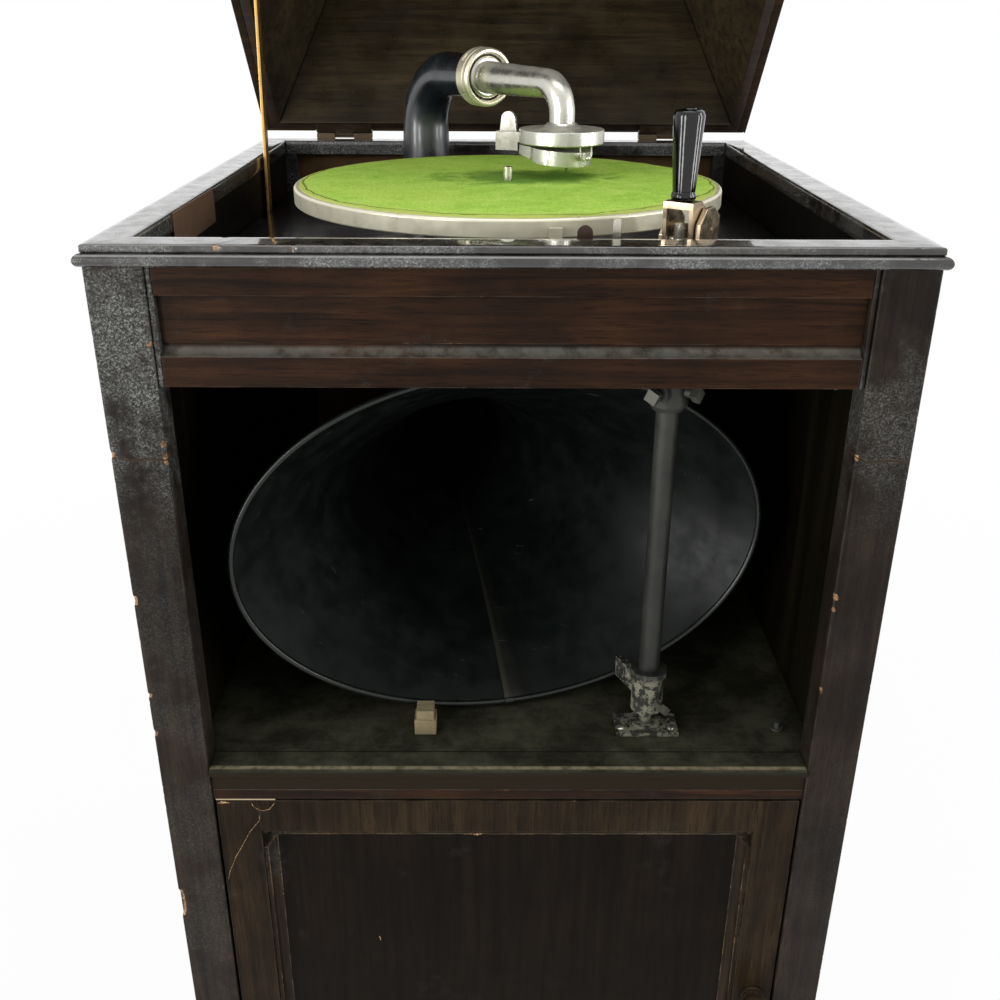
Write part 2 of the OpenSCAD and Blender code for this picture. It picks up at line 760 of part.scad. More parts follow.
module turntable() {
    plate_z = felt_top - felt_t;
    color(nickel) translate([spin_x, spin_y, z_at(plate_z)]) difference() {
        union() {
            translate([0, 0, -3.5]) cylinder(r = platter_r - 2, h = 3.5, $fn = 120);
            rotate_extrude($fn = 120) {
                translate([platter_r - 6, -platter_h]) square([4, platter_h]);
                translate([platter_r - 6, 1 - platter_h]) square([6, platter_h - 3]);
                translate([platter_r - 2, -2]) circle(r = 2, $fn = 24);
                translate([platter_r - 2, 1.5 - platter_h]) circle(r = 1.5, $fn = 24);
            }
            translate([0, 0, -plate_z - 21]) cylinder(r = 16, h = plate_z + 19);
        }
        translate([0, 0, -plate_z - 22]) cylinder(d = spindle_dia + 2 * fit, h = plate_z + 30);
    }
}

module turntable_felt() {
    color(felt_green) translate([spin_x, spin_y, z_at(felt_top - felt_t)]) difference() {
        cylinder(r = felt_r, h = felt_t, $fn = 120);
        translate([0, 0, -1]) cylinder(r = spindle_dia / 2 + 0.4, h = felt_t + 2);
    }
}

module brake_lever() {
    stud_x = 8;
    stud_y = y_at(44);
    color(bronze) {
        translate([stud_x, stud_y, bed_z + 0.5]) cylinder(r = 3, h = 6);
        translate([stud_x, stud_y, bed_z + 0.5]) cylinder(r = 7, h = 2);
        block([stud_x, stud_y - 5, bed_z + 0.5], [45, stud_y + 3, bed_z + 2.5]);
        block([22, stud_y, bed_z + 0.5], [30, y_at(66), bed_z + 2.5]);
        block([36.5, y_at(35), bed_z + 0.5], [45.5, y_at(36.5), z_at(0.5)]);
        block([36.5, y_at(35), bed_z + 0.5], [45.5, stud_y, bed_z + 2.5]);
        translate([41, y_at(36.5), z_at(0.5)]) rotate([90, 0, 0]) cylinder(r = 4.5, h = 1.5);
        block([22, y_at(64), bed_z + 0.5], [30, y_at(66), z_at(-2)]);
    }
    color([0.35, 0.22, 0.12]) block([22, y_at(66), z_at(-10)], [30, y_at(68), z_at(-2)]);
}

module speed_lever() {
    stud_x = 64;
    stud_y = y_at(62);
    color(nickel) {
        translate([stud_x, stud_y, bed_z + 0.5]) cylinder(r = 3, h = 6);
        translate([stud_x, stud_y, bed_z + 0.5]) cylinder(r = 6, h = 2);
        block([56.5, y_at(34), bed_z + 0.5], [61, stud_y, bed_z + 2.5]);
        block([56.5, y_at(32.5), bed_z + 0.5], [61, y_at(34), z_at(7.5)]);
        translate([58.75, y_at(34), z_at(7.5)]) rotate([90, 0, 0]) cylinder(r = 2.25, h = 1.5);
    }
}

module slot_plate() {
    color(nickel) block([64, y_at(40), bed_z], [80, y_at(41.5), z_at(-5)]);
}

// ---------------------------------------------------------------- lift lever

// Turns what is drawn facing the front about the pipe, as the lever stands
module turned_lever() {
    translate([pipe_x, pipe_y, 0]) rotate([0, 0, -lever_turn]) translate([-pipe_x, -pipe_y, 0]) children();
}

module lift_bracket() {
    color(bronze) turned_lever() difference() {
        union() {
            block([pipe_x - 16, y_at(34), bed_z], [pipe_x + 16, lever_y + 12, bed_z + 4]);
            translate([pipe_x, pipe_y, bed_z]) cylinder(r = rod_dia / 2 + 2.5, h = 22);
            for (s = [-1, 1]) translate([pipe_x + s * (cheek_x0 + cheek_t / 2), 0, 0])
                rotate([90, 0, 90]) translate([0, 0, -cheek_t / 2]) linear_extrude(cheek_t)
                    polygon([[y_at(46), bed_z], [lever_y + 10, bed_z], [lever_y + 10, z_at(s > 0 ? 6 : -1)],
                        [lever_y + 2, z_at(s > 0 ? 12 : 6)], [lever_y - 8, z_at(s > 0 ? 12 : 6)],
                        [y_at(50), z_at(s > 0 ? 4 : -4)]]);
        }
        translate([pipe_x, pipe_y, bed_z - 1]) cylinder(r = rod_dia / 2 + fit, h = 30);
        translate([pipe_x - 30, lever_y, lever_z]) rotate([0, 90, 0]) cylinder(r = pin_r + fit, h = 60);
    }
}

module lift_yoke() {
    slot_room = 0.42;
    side = yoke_in + yoke_t;
    color(bronze) turned_lever() difference() {
        union() {
            block([pipe_x - side, pipe_y - 6, yoke_top - 4], [pipe_x + side, pipe_y + 6, yoke_top]);
            for (s = [-1, 1]) translate([pipe_x + s * (yoke_in + yoke_t / 2), 0, 0])
                rotate([90, 0, 90]) translate([0, 0, -yoke_t / 2]) linear_extrude(yoke_t)
                    polygon([[pipe_y - 6, yoke_top], [pipe_y + 6, yoke_top], [lever_y + 5, lever_z + 5],
                        [lever_y + 5, lever_z - 4], [pipe_y + 3, cross_pin_z - 4],
                        [pipe_y - 5, cross_pin_z - 4]]);
        }
        translate([pipe_x - 20, lever_y, lever_z]) rotate([0, 90, 0]) cylinder(r = pin_r + fit, h = 40);
        for (d = [-1.2, 0.6]) translate([pipe_x - 20, pipe_y + d, cross_pin_z]) rotate([0, 90, 0])
            cylinder(r = pin_r + slot_room, h = 40);
        block([pipe_x - 20, pipe_y - 1.2, cross_pin_z - pin_r - slot_room],
            [pipe_x + 20, pipe_y + 0.6, cross_pin_z + pin_r + slot_room]);
    }
}

module lift_handle() {
    color(black) translate([pipe_x, pipe_y, yoke_top]) rotate_extrude() polygon(concat(
        [[0, 0], [5.5, 0], [7, 1.2], [7.4, 3], [6.8, 4.8], [6.4, 5.4]],
        [for (t = [0 : 0.125 : 1]) [6.6 + (handle_r - 6.6) * t, 6 + (handle_len - 9.5) * t]],
        [[handle_r - 1, handle_len - 1], [handle_r - 2.6, handle_len], [4, handle_len],
            [3.6, handle_len + 0.6], [0, handle_len + 0.8]]));
}

module lift_post() {
    color(nickel) translate([pipe_x, pipe_y, 0]) {
        translate([0, 0, z_at(clamp_top - 18)]) cylinder(d = rod_dia, h = -9 - clamp_top + 18 + eps);
        translate([0, 0, z_at(-9)]) cylinder(r = 4, h = 12);
        rotate([0, 0, -lever_turn]) translate([-yoke_in - yoke_t, 0, cross_pin_z]) rotate([0, 90, 0])
            cylinder(r = pin_r, h = 2 * (yoke_in + yoke_t));
    }
}

// ---------------------------------------------------------------- pipe and clamps

pipe_low = bay_z + clamp_low_z + 4;
module horn_pipe() {
    color(black) translate([pipe_x, pipe_y, 0]) {
        difference() {
            translate([0, 0, pipe_low]) cylinder(d = pipe_dia, h = z_at(clamp_top) - pipe_low);
            translate([0, 0, z_at(clamp_top - 20)]) cylinder(d = rod_dia + 2 * fit, h = 30);
        }
        translate([0, 0, bay_z - clamp_low_z + 1]) cylinder(d = rod_dia, h = clamp_low_z + 20);
    }
}

module upper_clamp() {
    top = z_at(clamp_top);
    bar_len = 50;
    bar_drop = 26;
    color(black) difference() {
        union() {
            translate([pipe_x, pipe_y, top - clamp_top_h + 4]) cylinder(d = clamp_dia, h = clamp_top_h - 4);
            translate([pipe_x, pipe_y, top - clamp_top_h])
                cylinder(d1 = clamp_dia - 6, d2 = clamp_dia, h = 4);
            translate([pipe_x, pipe_y, top - 16]) rotate([0, 0, 115]) {
                block([0, -9, 0], [bar_len, 9, 4.5]);
                block([bar_len - 8, -9, -bar_drop], [bar_len, 9, 4.5]);
            }
            rotate_about_pipe(-35) translate([0, 0, top - 14]) rotate([90, 0, 0]) cylinder(r = 7, h = 16);
        }
        translate([pipe_x, pipe_y, top - clamp_top_h - 1]) cylinder(d = pipe_dia + 0.02, h = clamp_top_h + 2);
        horn_outside(2.4);
    }
}

module rotate_about_pipe(a) {
    translate([pipe_x, pipe_y, 0]) rotate([0, 0, a]) children();
}

module lower_clamp() {
    low = bay_z + clamp_low_z;
    color(black) difference() {
        union() {
            translate([pipe_x, pipe_y, low]) cylinder(d = clamp_dia - 3, h = clamp_low_h);
            translate([pipe_x, pipe_y, low + clamp_low_h - 5]) cylinder(d = clamp_dia, h = 5);
            translate([pipe_x, pipe_y, low + 4]) rotate([0, 0, 115]) block([0, -2.5, 0], [46, 2.5, 16]);
        }
        translate([pipe_x, pipe_y, low - 1]) cylinder(d = pipe_dia + 0.02, h = clamp_low_h + 2);
        horn_outside(2.4);
    }
}

module clamp_bolts() {
    top = z_at(clamp_top - 14);
    color(bronze) {
        rotate_about_pipe(-35) translate([0, -clamp_dia / 2 - 3.5, top]) rotate([90, 0, 0]) {
            cylinder(r = 3, h = 3);
            translate([0, 0, 3]) rotate([0, 0, 20]) cylinder(r = 5.6, h = 5, $fn = 4);
        }
        rotate_about_pipe(48) translate([0, -clamp_dia / 2, top]) rotate([90, 0, 0]) {
            cylinder(r = 3, h = 5);
            translate([0, 0, 5]) cylinder(r = 5.6, h = 5, $fn = 4);
        }
        rotate_about_pipe(30) translate([0, -clamp_dia / 2 + 1.5, bay_z + clamp_low_z + 9])
            rotate([90, 0, 0]) {
            cylinder(r = 2, h = 7);
            translate([0, 0, 7]) cylinder(r = 4, h = 4, $fn = 4);
        }
    }
}

// ---------------------------------------------------------------- horn

function bell_r(s, mouth) = throat_r + (mouth - throat_r) * pow(1 - s / horn_end, flare);
function horn_turn(s) = s <= horn_run ? 0 : (s - horn_run) / horn_bend * 180 / PI;
function horn_point(s) = let (a = horn_turn(s)) [mouth_x, mouth_y, mouth_z]
    + (s <= horn_run ? s : horn_run + horn_bend * sin(a)) * horn_back + horn_bend * (1 - cos(a)) * up;
function horn_ring(s, grow, sides) = let (a = horn_turn(s))
    ring(horn_point(s), -horn_side, cos(a) * up - sin(a) * horn_back,
        bell_r(s, mouth_a) + grow, bell_r(s, mouth_b) + grow, sides);
horn_steps = concat([for (s = [0 : 8 : 40]) s], [for (s = [52 : 16 : 212]) s],
    [for (i = [0 : 8]) horn_run + (horn_end - horn_run) * i / 8]);
bell_sides = 64;

// The bell's outer form, grown by a clearance
module horn_outside(grow) {
    past_bead = 1.2 * rim_dia / 2;
    loft([for (s = [-2 * past_bead / 1.35, 20, 44, 76, 116, 164, 212])
        horn_ring(s, s < 20 ? grow + past_bead : grow, 32)]);
}

module horn_bell() {
    color(black) {
        loft_shell([for (s = horn_steps) horn_ring(s, 0, bell_sides)],
            [for (s = horn_steps) horn_ring(s, -horn_t, bell_sides)]);
        rolled_edge();
    }
}

module rolled_edge() {
    r = rim_dia / 2;
    steps = bell_sides;
    rings = [for (i = [0 : steps - 1]) let (t = 360 * i / steps,
            p = horn_point(0) + (mouth_a - 0.4) * cos(t) * horn_side + (mouth_b - 0.4) * sin(t) * up,
            out = (mouth_b * cos(t) * horn_side + mouth_a * sin(t) * up),
            n = out / norm(out))
        [for (j = [0 : 7]) p + r * cos(45 * j) * n + r * sin(45 * j) * horn_back]];
    pts = flat(rings);
    faces = [for (i = [0 : steps - 1]) for (j = [0 : 7])
        let (k = (j + 1) % 8, a = i * 8, b = (i + 1) % steps * 8)
            each [[a + j, b + j, b + k], [a + j, b + k, a + k]]];
    polyhedron(pts, faces, convexity = 10);
}

neck_straight = z_at(outlet_up) - neck_bend - neck_base.z;
neck_len = neck_straight + neck_bend * PI / 2 + collar_at - collar_w / 2 + 4 - neck_bend;
function neck_turn_at(s) = max(0, min(90, (s - neck_straight) / neck_bend * 180 / PI));
function neck_point(s) = let (a = neck_turn_at(s), past = max(0, s - neck_straight - neck_bend * PI / 2))
    neck_base + (min(s, neck_straight) + neck_bend * sin(a)) * up
        + (neck_bend * (1 - cos(a)) + past) * box_way;
function neck_ring(s, grow) = let (a = neck_turn_at(s), r = throat_r - 0.3
        - (throat_r - outlet_r) * pow(s / neck_len, 1.15) + grow)
    ring(neck_point(s), -box_side, sin(a) * up - cos(a) * box_way, r, r, 32);
neck_steps = concat([0.05, 30, 60, 90, neck_straight],
    [for (i = [1 : 8]) neck_straight + neck_bend * PI / 16 * i], [neck_len]);

module horn_neck() {
    color(black) {
        loft_shell([for (s = neck_steps) neck_ring(s, 0)], [for (s = neck_steps) neck_ring(s, -2)]);
        translate(neck_base + [0, 0, 0.05]) difference() {
            cylinder(r = throat_r + 3, h = 12);
            translate([0, 0, -1]) cylinder(r = throat_r - 1.5, h = 14);
        }
    }
}

// Frame with +Z along the level run from the neck to the sound box
module along_arm(distance) {
    start = [neck_x, neck_y, z_at(outlet_up)] + distance * box_way;
    translate(start) rotate([0, 0, atan2(box_way.y, box_way.x)]) rotate([0, 90, 0]) children();
}

module neck_collar() {
    color(nickel) along_arm(collar_at - collar_w / 2) difference() {
        rotate_extrude() difference() {
            union() {
                translate([0, 1.5]) square([collar_r, collar_w - 3]);
                square([collar_r - 1.5, collar_w]);
            }
            translate([-1, -1]) square([outlet_r + 1.2, 6]);
            translate([-1, 4]) square([arm_r + 4.6, collar_w]);
            translate([arm_r + 5.4, collar_w - 2.4]) square([1.4, 3]);
        }
        for (a = [20, 200]) rotate([0, 0, a])
            translate([collar_r - 1.6, -5, collar_w / 2 - 1.2]) cube([3, 10, 2.4]);
    }
}

arm_start = collar_at - collar_w / 2 + 5;
arm_end = neck_to_box - arm_bend;
arm_down = outlet_up - arm_bend - box_up - 4;
function arm_ring(p, t, r) = ring(p, -box_side, cos(t) * up + sin(t) * box_way, r, r, 32);
function arm_r_at(f) = arm_r + (arm_end_r - arm_r) * f;
module reproducer_arm() {
    start = [neck_x, neck_y, z_at(outlet_up)];
    total = arm_end - arm_start + arm_bend * PI / 2;
    level = [for (d = [arm_start, (arm_start + arm_end) / 2, arm_end])
        arm_ring(start + d * box_way, 0, arm_r_at((d - arm_start) / total))];
    bend = [for (i = [1 : 8]) let (a = 90 * i / 8)
        arm_ring(start + (arm_end + arm_bend * sin(a)) * box_way - arm_bend * (1 - cos(a)) * up, a,
            arm_r_at((arm_end - arm_start + arm_bend * PI / 2 * i / 8) / total))];
    drop = [arm_ring([box_x, box_y, z_at(outlet_up - arm_bend - arm_down)], 90, arm_end_r)];
    color(nickel) {
        loft(concat(level, bend, drop));
        along_arm(arm_start - 0.9) cylinder(r = arm_r + 3.4, h = collar_w - 6);
    }
}

// ---------------------------------------------------------------- sound box

// Frame at the sound box's middle with +X from the weight's hinge to its tip
module at_box() {
    translate([box_x, box_y, z_at(box_up)]) rotate([0, 0, weight_turn]) children();
}

module sound_box() {
    neck_h = 4;
    bracket_end = -weight_hinge - 3;
    bracket_low = weight_pin_z - 4;
    color(nickel) at_box() {
        difference() {
            union() {
                rotate_extrude($fn = 96) {
                    translate([0, -box_t]) square([box_r - 1, box_t]);
                    translate([0, 1 - box_t]) square([box_r, box_t - 2]);
                    translate([box_r - 1, -1]) circle(r = 1, $fn = 24);
                    translate([box_r - 1, 1 - box_t]) circle(r = 1, $fn = 24);
                    difference() {
                        square([arm_end_r + 9, neck_h + 4]);
                        translate([arm_end_r + 9, 9]) circle(r = 9);
                        translate([arm_end_r, neck_h]) square([20, 20]);
                        translate([-1, neck_h - 0.05]) square([arm_end_r + 20, 20]);
                    }
                }
                block([bracket_end, -5.5, bracket_low], [-box_r + 3, 5.5, -3]);
                translate([-weight_hinge + lug_w / 2 - 1, 0, -3.5]) thumb_lug();
            }
            block([bracket_end - 1, -2.6, bracket_low - 1], [-box_r + 0.1, 2.6, weight_pin_z + 3]);
            block([-box_r - 0.6, -7, bracket_low - 1], [-box_r + 5, 7, -box_t]);
            weight_pin(20);
        }
        weight_pin(11);
        rotate([0, 0, loop_turn]) translate([loop_out, 0, -box_t]) limit_loop();
    }
}

// The weight's hinge pin, drawn at the sound box
module weight_pin(length) {
    translate([-weight_hinge, 0, weight_pin_z]) rotate([90, 0, 0])
        cylinder(r = hinge_pin_r, h = length, center = true);
}

// Wire loop that holds the weight's pin up, hanging from the sound box
module limit_loop() {
    wire_r = 0.6;
    leg_x = 5.3;
    drop = 4.8;
    translate([0, 0, -drop]) rotate([0, 0, 90]) rotate([90, 0, 0]) {
        rotate([0, 0, 180]) rotate_extrude(angle = 180, $fn = 32)
            translate([leg_x, 0]) circle(r = wire_r, $fn = 16);
        for (x = [-leg_x, leg_x]) translate([x, 0, 0]) rotate([-90, 0, 0])
            cylinder(r = wire_r, h = drop + 0.5, $fn = 16);
    }
}

module thumb_lug() {
    thick = 4;
    tip_r = 5.2;
    rotate([90, 0, 0]) translate([0, 0, -thick / 2]) linear_extrude(thick) {
        translate([0, lug_h]) circle(r = tip_r);
        polygon([[-lug_w / 2, 0], [lug_w / 2, 0], [tip_r, lug_h], [-tip_r, lug_h]]);
    }
}

// The weight as it lies when it is pushed up against the sound box, with its bottom at 0
module weight_body() {
    tail_x = -30;
    rise = weight_pin_z - weight_low;
    difference() {
        union() {
            intersection() {
                linear_extrude(weight_t) {
                    circle(r = weight_r);
                    polygon([[0, -weight_r], [tail_x, -6], [tail_x, 6], [0, weight_r]]);
                }
                rotate([90, 0, 0]) translate([0, 0, -40]) linear_extrude(80)
                    polygon([[-50, 8], [-12, 0], [50, 0], [50, weight_t], [-50, weight_t]]);
            }
            translate([-weight_hinge, -2.2, rise]) rotate([-90, 0, 0]) cylinder(r = 2.6, h = 4.4);
            block([-weight_hinge, -2.2, weight_t - 4.5], [tail_x + 4, 2.2, weight_t]);
        }
        translate([-weight_hinge, -5, rise]) rotate([-90, 0, 0]) cylinder(r = hinge_pin_r + fit, h = 10);
    }
    rotate([0, 0, loop_turn]) {
        block([weight_r - 4, -1.2, weight_t - 4], [loop_out + 3, 1.2, weight_t - 1.6]);
        translate([loop_out + 3, 0, weight_t - 2.8]) sphere(r = 1.9, $fn = 32);
    }
    translate([5, 0, 0]) {
        translate([0, 0, -3]) cylinder(r = 3.2, h = 3 + eps);
        translate([0, 0, -7]) cylinder(r1 = 0.4, r2 = 1.5, h = 4 + eps, $fn = 24);
    }
}

module reproducer_weight() {
    color(nickel) at_box() translate([-weight_hinge, 0, weight_pin_z]) rotate([0, weight_hang, 0])
        translate([weight_hinge, 0, weight_low - weight_pin_z]) weight_body();
}

// ---------------------------------------------------------------- lid

// Puts what is drawn for the closed lid where it is when open
module opened() {
    translate([0, hinge_y, hinge_z]) rotate([-lid_open, 0, 0]) translate([0, -hinge_y, -hinge_z]) children();
}

// Level outline of the lid at a height, moved out by a wall
module lid_outline(height, wall) {
    x = lid_in_x - height * slope_run + wall;
    y = lid_in_y - height * slope_run + wall;
    square([2 * x, 2 * y], center = true);
}

// Plan of one side's share of the lid, cut off at the hips
module lid_share(side) {
    corner = lid_in_x - lid_in_y;
    big = 400;
    g = mitre_gap / 2;
    if (side == "front" || side == "back") mirror([0, side == "front" ? 1 : 0])
        polygon([[corner > 0 ? corner : 0, max(0, -corner) + g * 2], [corner + big, big + 2 * g],
            [-corner - big, big + 2 * g], [corner > 0 ? -corner : 0, max(0, -corner) + g * 2]]);
    else mirror([side == "left" ? 1 : 0, 0])
        polygon([[max(0, corner) + 2 * g, max(0, -corner)], [corner + big + 2 * g, big],
            [corner + big + 2 * g, -big], [max(0, corner) + 2 * g, -max(0, -corner)]]);
}

module slope_board(side) {
    flip = side == "front" || side == "left" ? -1 : 1;
    ends = side == "front" || side == "back";
    base = ends ? lid_in_y : lid_in_x;
    span = ends ? half_w : body_d / 2;
    intersection() {
        rotate([0, 0, ends ? 0 : -90]) scale_y(flip) translate([-span, 0, 0]) rotate([90, 0, 90])
            linear_extrude(2 * span) polygon([[base, 0], [base + slope_t, 0],
                [base + slope_t - lid_h * slope_run, lid_h], [base - lid_h * slope_run, lid_h]]);
        translate([0, 0, -1]) linear_extrude(lid_h + 2) lid_share(side);
    }
}

module scale_y(flip) {
    if (flip < 0) mirror([0, 1, 0]) children();
    else children();
}

module lid_slopes() {
    color(wood) opened() translate([0, 0, lid_z])
        difference() {
            union() {
                for (side = ["front", "back", "left", "right"]) slope_board(side);
            }
            hinge_recesses();
        }
}

// Room for the hinge leaves under the lid's back edge
module hinge_recesses() {
    for (s = [-1, 1]) block([s * lid_hinge_x - lid_hinge_len / 2 - 0.3, body_d / 2 - 10.3, -1],
        [s * lid_hinge_x + lid_hinge_len / 2 + 0.3, body_d / 2 + 2, leaf_t + 0.1]);
}

module rim_rail(side) {
    flip = side == "front" || side == "left" ? -1 : 1;
    ends = side == "front" || side == "back";
    base = (ends ? lid_in_y : lid_in_x) + slope_t + 0.1;
    out = ends ? body_d / 2 - (side == "back" ? 1 : 0) : half_w;
    span = ends ? half_w : body_d / 2;
    intersection() {
        rotate([0, 0, ends ? 0 : -90]) scale_y(flip) translate([-span, 0, 0]) rotate([90, 0, 90])
            linear_extrude(2 * span) polygon([[base, 0], [out, 0], [out, rim_h - 4], [out - 1.5, rim_h],
                [base - rim_h * slope_run, rim_h]]);
        translate([0, 0, -1]) linear_extrude(rim_h + 2) rim_share(side);
    }
}

// Plan of one side's share of the rim, mitred from outer to inner corner
module rim_share(side) {
    o = [half_w, body_d / 2];
    i = [lid_in_x, lid_in_y];
    out = o + 3 * (o - i);
    deep = i - 3 * (o - i);
    g = 0.2;
    if (side == "front" || side == "back") mirror([0, side == "front" ? 1 : 0])
        polygon([[deep.x, deep.y + g], [out.x, out.y + g], [-out.x, out.y + g], [-deep.x, deep.y + g]]);
    else mirror([side == "left" ? 1 : 0, 0])
        polygon([[deep.x + g, deep.y], [out.x + g, out.y], [out.x + g, -out.y], [deep.x + g, -deep.y]]);
}

module lid_rim() {
    color(dark_wood) opened() translate([0, 0, lid_z]) difference() {
        union() {
            for (side = ["front", "back", "left", "right"]) rim_rail(side);
        }
        hinge_recesses();
    }
}

module lid_top() {
    over = 3;
    x = lid_in_x - lid_h * slope_run + slope_t + over;
    y = lid_in_y - lid_h * slope_run + slope_t + over;
    color(dark_wood) opened() translate([0, 0, lid_z + lid_h + 0.05]) {
        block([-x, -y, 0], [x, y, lid_top_t - 4]);
        block([-x + 3, -y + 3, lid_top_t - 4 - eps], [x - 3, y - 3, lid_top_t]);
    }
}

// Hinge knuckles along X, centred on the pin; the middle one belongs to the moving leaf
module knuckles(length, r, ends) {
    k = length / 3;
    for (i = ends ? [-1, 1] : [0]) translate([i * k - k / 2 + 0.15, 0, 0]) rotate([0, 90, 0]) difference() {
        cylinder(r = r, h = k - 0.3);
        translate([0, 0, -1]) cylinder(r = pin_r + fit, h = k + 2);
    }
}

module lid_hinge_leaves() {
    leaf_z = lid_z - hinge_z;
    color(bronze) opened() for (s = [-1, 1]) translate([s * lid_hinge_x, hinge_y, hinge_z]) {
        knuckles(lid_hinge_len, knuckle_r, false);
        difference() {
            block([-lid_hinge_len / 2, -hinge_back - 10, leaf_z],
                [lid_hinge_len / 2, -hinge_back, leaf_z + leaf_t]);
            for (x = [-18, 0, 18]) translate([x, -hinge_back - 5, leaf_z - 1]) cylinder(r = 1.6, h = 5);
        }
        difference() {
            block([-lid_hinge_len / 6 + 0.15, -hinge_back - 1, leaf_z],
                [lid_hinge_len / 6 - 0.15, 0, leaf_z + leaf_t]);
            rotate([0, 90, 0]) cylinder(r = pin_r + fit, h = lid_hinge_len, center = true);
        }
    }
}

module hinge_fixed_leaves() {
    color(bronze) {
        for (s = [-1, 1]) translate([s * lid_hinge_x, hinge_y, hinge_z]) {
            knuckles(lid_hinge_len, knuckle_r, true);
            for (i = [-1, 1]) difference() {
                block([i * lid_hinge_len / 3 - lid_hinge_len / 6 + 0.15, -hinge_back + 0.05, -hinge_up - 12],
                    [i * lid_hinge_len / 3 + lid_hinge_len / 6 - 0.15, -hinge_back + 2, 0]);
                rotate([0, 90, 0]) cylinder(r = pin_r + fit, h = 80, center = true);
            }
            for (i = [-1, 1]) difference() {
                block([i * lid_hinge_len / 3 - lid_hinge_len / 6 + 0.15, -hinge_back + 0.05, -1],
                    [i * lid_hinge_len / 3 + lid_hinge_len / 6 - 0.15, 0, 1]);
                rotate([0, 90, 0]) cylinder(r = pin_r + fit, h = 80, center = true);
            }
            block([-lid_hinge_len / 2 + 0.15, -hinge_back + 0.05, -hinge_up - 14],
                [lid_hinge_len / 2 - 0.15, -hinge_back + 2, -hinge_up - 2]);
        }
    }
}

module hinge_pins() {
    color(bronze) {
        for (s = [-1, 1]) translate([s * lid_hinge_x - lid_hinge_len / 2, hinge_y, hinge_z])
            rotate([0, 90, 0]) cylinder(r = pin_r, h = lid_hinge_len);
        turned_lever() translate([pipe_x - cheek_x0 - cheek_t - 0.5, lever_y, lever_z]) rotate([0, 90, 0])
            cylinder(r = pin_r, h = 2 * (cheek_x0 + cheek_t) + 1);
    }
}

// Bracket on the lid's left slope, with the stay's pin
module stay_bracket() {
    y = hinge_y - hinge_back - stay_arm;
    low = stay_up - 7;
    high = stay_up + 9;
    face = stay_x - stay_t / 2 - 0.4;
    color(bronze) opened() translate([0, y, lid_z]) {
        translate([0, 9, 0]) rotate([90, 0, 0]) linear_extrude(18)
            polygon([[-lid_in_x + low * slope_run + 0.05, low], [face, low], [face, high],
                [-lid_in_x + high * slope_run + 0.05, high]]);
        translate([face - 1, 0, stay_up]) rotate([0, 90, 0]) cylinder(r = 2, h = stay_t + 2.2);
        translate([face + stay_t + 0.8, 0, stay_up]) rotate([0, 90, 0]) cylinder(r = 3.6, h = 1.4);
    }
}

// Stay: a strip that hangs from the lid and slides through a keeper below the bedplate
module lid_stay() {
    color([0.6, 0.45, 0.25]) translate(stay_pivot()) rotate([-stay_lean, 0, 0]) difference() {
        union() {
            block([-stay_t / 2, -stay_w / 2, -stay_len], [stay_t / 2, stay_w / 2, 0]);
            rotate([0, 90, 0]) cylinder(d = stay_w, h = stay_t, center = true);
        }
        rotate([0, 90, 0]) cylinder(r = 2 + fit, h = 20, center = true);
    }
}

// Where the stay's pivot lies with the lid open
function stay_pivot() = let (y = -stay_arm - hinge_back, z = stay_up + lid_gap - hinge_up)
    [stay_x, hinge_y + y * cos(lid_open) + z * sin(lid_open),
        hinge_z - y * sin(lid_open) + z * cos(lid_open)];

// Where the stay's middle is at a height
function stay_at(z) = stay_pivot().y - (stay_pivot().z - z) * tan(stay_lean);

module stay_keeper() {
    z = z_at(-keeper_drop);
    y = stay_at(z);
    color(bronze) difference() {
        block([-side_in, y - 18, z - 4], [stay_x + stay_t / 2 + 3, y + 22, z + 4]);
        block([stay_x - stay_t / 2 - 0.4, y - 13, z - 5], [stay_x + stay_t / 2 + 0.8, y + 17, z + 5]);
    }
}

// ---------------------------------------------------------------- door

door_x0 = -post_in + door_gap;
door_x1 = post_in - door_gap;
door_front = y_at(2);
door_back = door_front + door_t;
door_pin_x = door_x0 + 3.5;
door_pin_y = door_front + 3;
door_pin_len = 12;
door_leaf_t = door_gap - 0.4;
door_leaf_len = 1.4 * stile_w;

module door_frame() {
    g = 0.1;
    color(dark_wood) difference() {
        union() {
            block([door_x0, door_front, door_bottom_z], [door_x0 + stile_w, door_back, door_top_z]);
            block([door_x1 - stile_w, door_front, door_bottom_z], [door_x1, door_back, door_top_z]);
            block([door_x0 + stile_w + g, door_front, door_top_z - door_top_w],
                [door_x1 - stile_w - g, door_back, door_top_z]);
            block([door_x0 + stile_w + g, door_front, door_bottom_z],
                [door_x1 - stile_w - g, door_back, door_bottom_z + door_bottom_w]);
        }
        for (z = [door_bottom_z - 1, door_top_z - door_pin_len])
            translate([door_pin_x, door_pin_y, z]) cylinder(r = pin_r + fit, h = door_pin_len + 1);
    }
}

// Pivots let into the rails above and below the door
module door_pivots() {
    color(bronze) {
        block([door_x0, door_front, shelf_rail_z - door_leaf_t],
            [door_x0 + door_leaf_len, door_front + 10, shelf_rail_z]);
        translate([door_pin_x, door_pin_y, door_top_z - door_pin_len + 1])
            cylinder(r = pin_r, h = shelf_rail_z - door_top_z + door_pin_len - 1.5);
        block([door_x0, door_front, plinth_z + plinth_h],
            [door_x0 + door_leaf_len, door_front + 10, plinth_z + plinth_h + door_leaf_t]);
        translate([door_pin_x, door_pin_y, plinth_z + plinth_h + 0.5])
            cylinder(r = pin_r, h = door_pin_len);
    }
}

